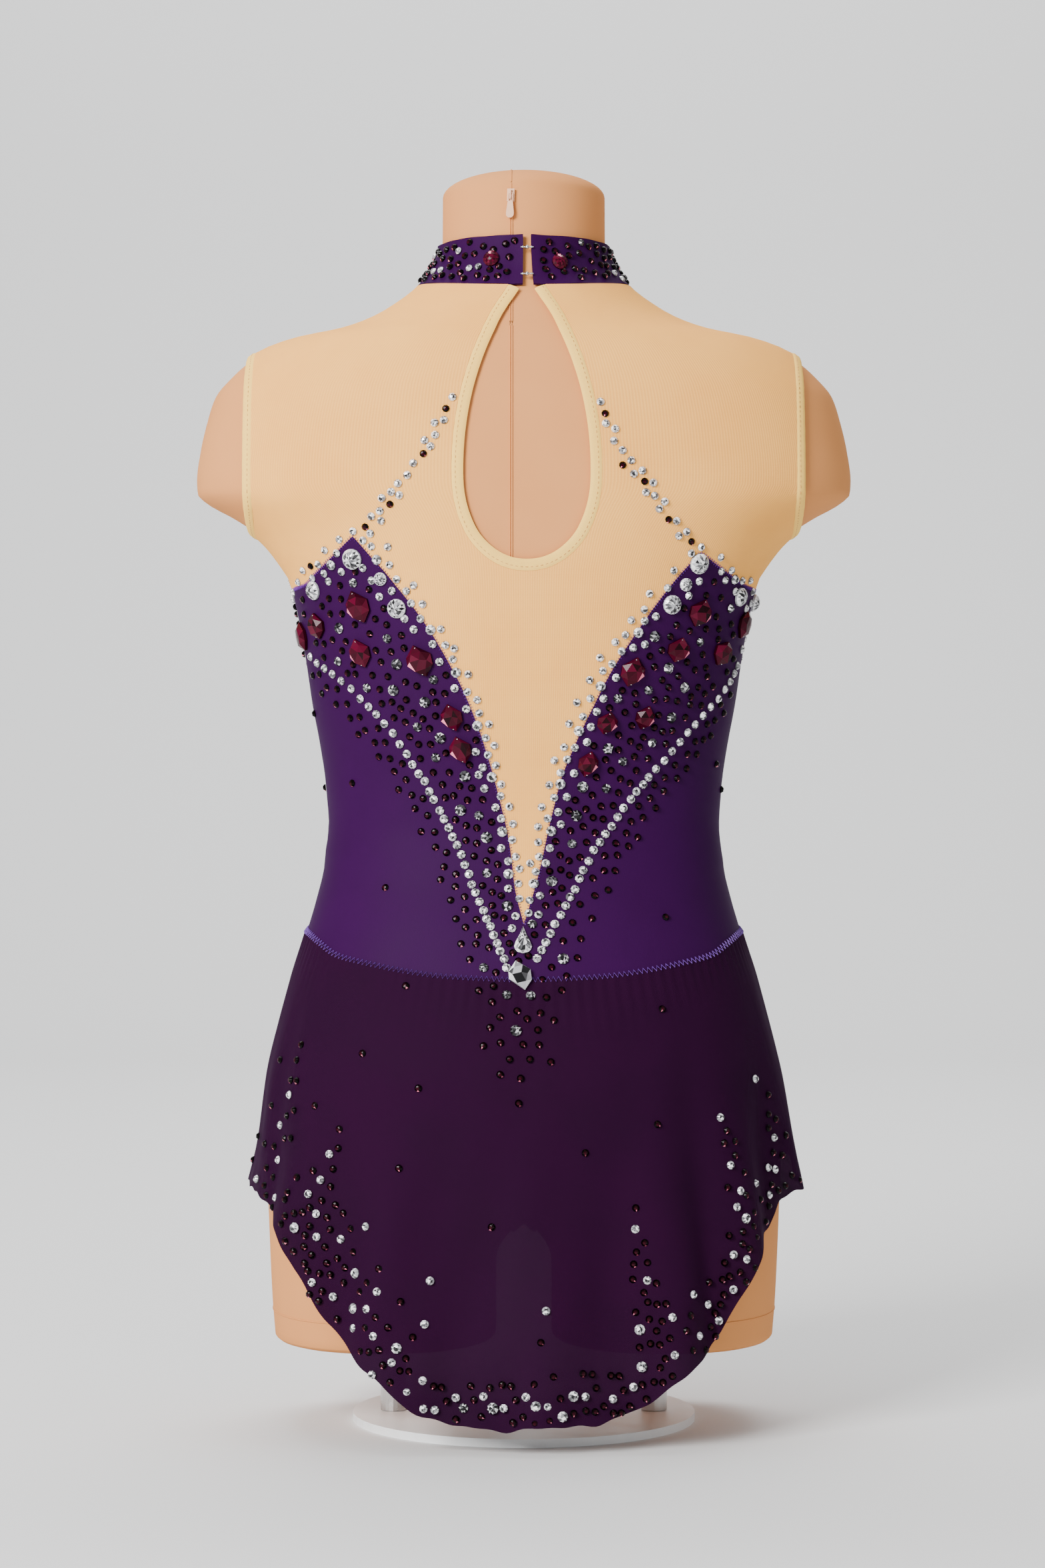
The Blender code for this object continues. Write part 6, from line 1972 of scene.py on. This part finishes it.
@dataclass
class DressForm:
    """The limbless form: body, neck, arm caps and thigh stumps under a jersey cover."""

    half_columns: int = 60
    crotch_points: int = 19
    map_radius: float = 0.11
    hem_radius: float = 0.00045
    lip_radius: float = 0.00055
    end_rows: Sequence[Row] = ((0.992, 0.0008), (0.965, 0.0022), (0.92, 0.0031), (0.86, 0.0035), (0.5, 0.0035))

    def crotch(self, share: Places) -> Places:
        """Points of the line between the legs, from back to front."""
        back = FIGURE.point(np.array([0.0]), np.array([LEG_CENTRE]))[0, 1]
        front = FIGURE.point(np.array([math.pi]), np.array([LEG_CENTRE]))[0, 1]
        spread = np.sin(math.pi * (share - 0.5)) / 2 + 0.5
        height = CROTCH + (LEG_CENTRE - CROTCH) * np.abs(2 * spread - 1) ** 4
        return np.stack([np.zeros(len(share)), back + (front - back) * spread, height], 1)

    def leg(self, angle: Places, height: Places) -> Places:
        """Points of the right thigh's own rounded section."""
        outer = FIGURE.width(height)
        back, front, side_y, _ = FIGURE.profile.at(height).T
        spots = ring_points(angle, (outer - LEG_GAP) / 2, back, front, side_y, np.full(len(angle), 2.2), height)
        spots[:, 0] += (outer + LEG_GAP) / 2
        return spots

    def leg_rows(self, levels: Sequence[float]) -> list[Places]:
        """Rings of the right leg from the split down to its end.

        Args:
            levels: shares of the way down.

        Returns:
            One ring for each level.
        """
        turn = math.pi * np.arange(self.half_columns + 1) / self.half_columns
        share = 1 - np.arange(1, self.crotch_points + 1) / (self.crotch_points + 1)
        angle = np.concatenate([math.radians(-38) + turn * 256 / 180, np.radians(218 + 104 * (1 - share))])
        inward = np.concatenate([1 - smooth(np.abs(np.sin(turn)) / math.sin(math.radians(42))),
                                 np.ones(self.crotch_points)])
        line = self.crotch(share)
        top = np.concatenate([np.full(len(turn), LEG_CENTRE), line[:, 2]])
        rows = []
        for v in levels:
            height = top + (THIGH_END - top) * v
            here = np.concatenate([FIGURE.point(turn, height[:len(turn)]),
                                   np.stack([line[:, 0], line[:, 1], height[len(turn):]], 1)])
            quick = math.sin(min(1.0, v / 0.42) * math.pi / 2)
            slow = float(smooth(np.array([v / 0.8]))[0])
            share_to = (slow + (quick - slow) * inward)[:, None]
            rows.append(here + (self.leg(angle, height) - here) * share_to)
        return rows

    def trunk(self) -> list[Places]:
        """Rings of the body, the neck and its domed top, from the legs' split up."""
        around = 2 * self.half_columns
        heights = np.concatenate([np.arange(LEG_CENTRE, 0.500, 0.008), np.arange(0.500, 0.690, 0.003),
                                  np.arange(0.690, NECK_EDGE, 0.005), [NECK_EDGE]])
        turn = math.tau * np.arange(around) / around
        rings = [FIGURE.point(turn, np.full(around, height)) for height in heights]
        middle = np.array([0.0, FIGURE.profile.at(np.array([NECK_EDGE]))[0, 2], 0.0])
        rim = rings[-1]
        for share in np.linspace(0.08, 0.985, 13):
            angle = share * math.pi / 2
            ring = middle + (rim - middle) * math.cos(angle)
            ring[:, 2] = NECK_EDGE + (NECK_TOP - NECK_EDGE) * math.sin(angle)
            rings.append(ring)
        return rings

    def thigh(self) -> list[Places]:
        """Rings of the right thigh stump and its rounded end."""
        rows = self.leg_rows(np.concatenate([np.linspace(0.0, 0.3, 13), np.linspace(0.34, 1.0, 18)]))
        end = rows[-1]
        foot = end.mean(0)
        for shrink, drop in self.end_rows:
            ring = foot + (end - foot) * shrink
            ring[:, 2] = THIGH_END - drop
            rows.append(ring)
        return rows

    def build(self) -> None:
        """Make the form, its seam and its hem."""
        around = 2 * self.half_columns
        rings = self.trunk()
        faces = grid_faces(len(rings) - 1, around, True)
        last = (len(rings) - 1) * around
        faces.append(tuple(range(last, last + around)))
        points = np.concatenate(rings)
        rows = self.thigh()
        count = len(rows[0])
        for side in (1, -1):
            first = [(side * i) % around for i in range(self.half_columns + 1)]
            start = len(points)
            below = np.concatenate(rows) * (side, 1, 1)
            points = np.concatenate([points, below])
            for r in range(len(rows) - 1):
                for i in range(count):
                    j = (i + 1) % count
                    quad = [start + r * count + i, start + (r + 1) * count + i,
                            start + (r + 1) * count + j, start + r * count + j]
                    if r == 0:
                        quad = [first[k - start] if k - start <= self.half_columns else k for k in quad]
                    faces.append(tuple(quad))
            end = start + (len(rows) - 1) * count
            faces.append(tuple(range(end, end + count)))
        work = bmesh.new()
        corners = [work.verts.new(p) for p in points]
        for face in faces:
            if len(set(face)) > 2:
                work.faces.new([corners[i] for i in dict.fromkeys(face)])
        bmesh.ops.remove_doubles(work, verts=work.verts, dist=0.00001)
        loose = [vertex for vertex in work.verts if not vertex.link_faces]
        bmesh.ops.delete(work, geom=loose, context="VERTS")
        parts = from_bmesh(work)
        place = np.concatenate(parts.points)
        uv = np.stack([np.arctan2(place[:, 0], -place[:, 1]) * self.map_radius, place[:, 2]], 1)
        made = add_piece("dress_form_cover", parts, COVER, uv)
        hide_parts("dress_form")
        self.build_seam()
        self.build_thigh_hems()

    def build_seam(self) -> None:
        """The closed zip's two lips down the back of the cover."""
        slider_half = 0.0045
        height = np.linspace(0.300, ZIP_Z - slider_half, 160)
        for label, shift in (("left", -0.00065), ("right", 0.00065)):
            turn = FIGURE.turn_at(np.full(len(height), ZIP_X + shift), height)
            self.trim("cover_zip_lip_" + label, FIGURE.lifted(turn, height, 0.00015), self.lip_radius)
        rise = np.linspace(ZIP_Z + slider_half, NECK_EDGE, 8)
        up = FIGURE.lifted(FIGURE.turn_at(np.full(len(rise), ZIP_X), rise), rise, 0.0)
        middle = np.array([ZIP_X, FIGURE.profile.at(np.array([NECK_EDGE]))[0, 2], NECK_EDGE])
        angle = np.linspace(0, math.pi / 2, 25)[1:, None]
        over = middle + (up[-1] - middle) * np.cos(angle)
        over[:, 2] = NECK_EDGE + (NECK_TOP - NECK_EDGE) * np.sin(angle[:, 0])
        self.trim("cover_seam_top", np.concatenate([up, over]), self.hem_radius)

    def build_thigh_hems(self) -> None:
        """A low rolled hem round the end of each thigh."""
        ring = self.leg_rows([0.86])[0]
        for side, label in ((1, "right"), (-1, "left")):
            self.trim("cover_hem_" + label, np.concatenate([ring, ring[:2]]) * (side, 1, 1), self.hem_radius)

    def trim(self, name: str, path: Places, radius: float) -> None:
        """A thin roll of the cover along a path.

        Args:
            name: the piece's name.
            path: points of its middle line.
            radius: its radius.
        """
        parts = MeshParts()
        add_tube(parts, path, radius, 8)
        add_piece(name, parts, COVER, np.concatenate(parts.points)[:, :2])


@dataclass
class ZipAndStand:
    """Finishes of the zip's metal, the rods and the base plate."""

    finishes: Sequence[tuple[str, HardFinish]] = (
        ("zip_slider", LACQUER), ("zip_pull", LACQUER), ("stand_rod_right", STEEL), ("stand_rod_left", STEEL),
        ("stand_base", PAINT),
    )

    def build(self) -> None:
        """Give each carried-over node its finish."""
        for name, finish in self.finishes:
            node = bpy.data.objects[name]
            node.data.materials.clear()
            node.data.materials.append(finish.material())
            LOG.info("%s: finished", name)


@dataclass
class Studio:
    """Pale sweep, soft lights and the camera at the photograph's view."""

    distance: float = 2.3
    eye_height: float = 0.3895
    centre_x: float = -0.0008
    frame_height: float = 0.9638
    backdrop: Row = (0.70, 0.70, 0.70)

    def build(self) -> None:
        """Make the sweep, the lights and the camera."""
        self.build_sweep()
        self.build_camera()
        self.light("key", (-1.5, -2.1, 1.5), 1.1, 145.0)
        self.light("fill", (1.9, -1.6, 0.9), 1.6, 4.0)
        self.light("top", (0.0, 0.5, 2.4), 1.6, 26.0)
        self.light("backdrop", (0.0, 1.9, 3.6), 3.0, 165.0, (0.0, 4.4, 0.9))
        world = bpy.data.worlds.new("Studio")
        world.use_nodes = True
        world.node_tree.nodes["Background"].inputs[0].default_value = (0.66, 0.67, 0.68, 1.0)
        world.node_tree.nodes["Background"].inputs[1].default_value = 0.85
        bpy.context.scene.world = world

    def build_sweep(self) -> None:
        """A floor that curves up into a wall."""
        rows = [(-6.0, 0.0), (3.0, 0.0)]
        for i in range(1, 17):
            angle = math.pi / 2 * i / 16
            rows.append((3.0 + 1.5 * math.sin(angle), 1.5 - 1.5 * math.cos(angle)))
        rows.append((4.5, 6.0))
        points = [(x, y, z) for y, z in rows for x in (-8.0, 8.0)]
        data = bpy.data.meshes.new("sweep")
        data.from_pydata(points, [], grid_faces(len(rows) - 1, 1))
        for face in data.polygons:
            face.use_smooth = True
        shade = tuple(c * 0.995 for c in self.backdrop)
        finish = HardFinish("PaleSweep", None, self.backdrop, shade, roughness=0.9, scale=2.0, depth=0.0)
        data.materials.append(self.one_sided(finish.material()))
        sweep = bpy.data.objects.new("sweep", data)
        bpy.context.scene.collection.objects.link(sweep)

    def one_sided(self, material: bpy.types.Material) -> bpy.types.Material:
        """Leave the sweep clear from behind, so that the front can be seen past it.

        Args:
            material: the sweep's material.

        Returns:
            The same material.
        """
        tree = material.node_tree
        output = tree.nodes["Material Output"]
        shader = output.inputs["Surface"].links[0].from_socket
        side = tree.nodes.new("ShaderNodeNewGeometry")
        clear = tree.nodes.new("ShaderNodeBsdfTransparent")
        mix = tree.nodes.new("ShaderNodeMixShader")
        tree.links.new(side.outputs["Backfacing"], mix.inputs[0])
        tree.links.new(shader, mix.inputs[1])
        tree.links.new(clear.outputs[0], mix.inputs[2])
        tree.links.new(mix.outputs[0], output.inputs["Surface"])
        return material

    def build_camera(self) -> None:
        """A long lens at half the object's height, square to its back."""
        lens = bpy.data.cameras.new("View")
        lens.sensor_fit = "VERTICAL"
        lens.sensor_height = 36.0
        lens.sensor_width = 24.0
        lens.lens = lens.sensor_height * self.distance / self.frame_height
        lens.clip_end = 50.0
        camera = bpy.data.objects.new("View", lens)
        camera.matrix_world = (Matrix.Translation((self.centre_x, -self.distance, self.eye_height))
                               @ Matrix.Rotation(math.pi / 2, 4, "X"))
        bpy.context.scene.collection.objects.link(camera)
        bpy.context.scene.camera = camera

    def light(self, name: str, place: Row, size: float, power: float, aim: Row = (0.0, 0.0, 0.42)) -> None:
        """A soft square light.

        Args:
            name: its name.
            place: where it is.
            size: its edge.
            power: its power in watts.
            aim: where it looks, the garment unless given.
        """
        data = bpy.data.lights.new(name, "AREA")
        data.size = size
        data.energy = power
        made = bpy.data.objects.new(name, data)
        made.location = place
        way = Vector(aim) - made.location
        made.rotation_euler = way.to_track_quat("-Z", "Y").to_euler()
        bpy.context.scene.collection.objects.link(made)


def main() -> None:
    """Build every sub-assembly in order."""
    logging.basicConfig(level=logging.INFO, format="%(message)s")
    for part in (Studio(), DressForm(), LeotardBody(), Collar(), Skirt(), Topstitching(),
                 LargeStones(), SmallStones(), ZipAndStand()):
        LOG.info("building %s", type(part).__name__)
        part.build()


if __name__ == "__main__":
    main()
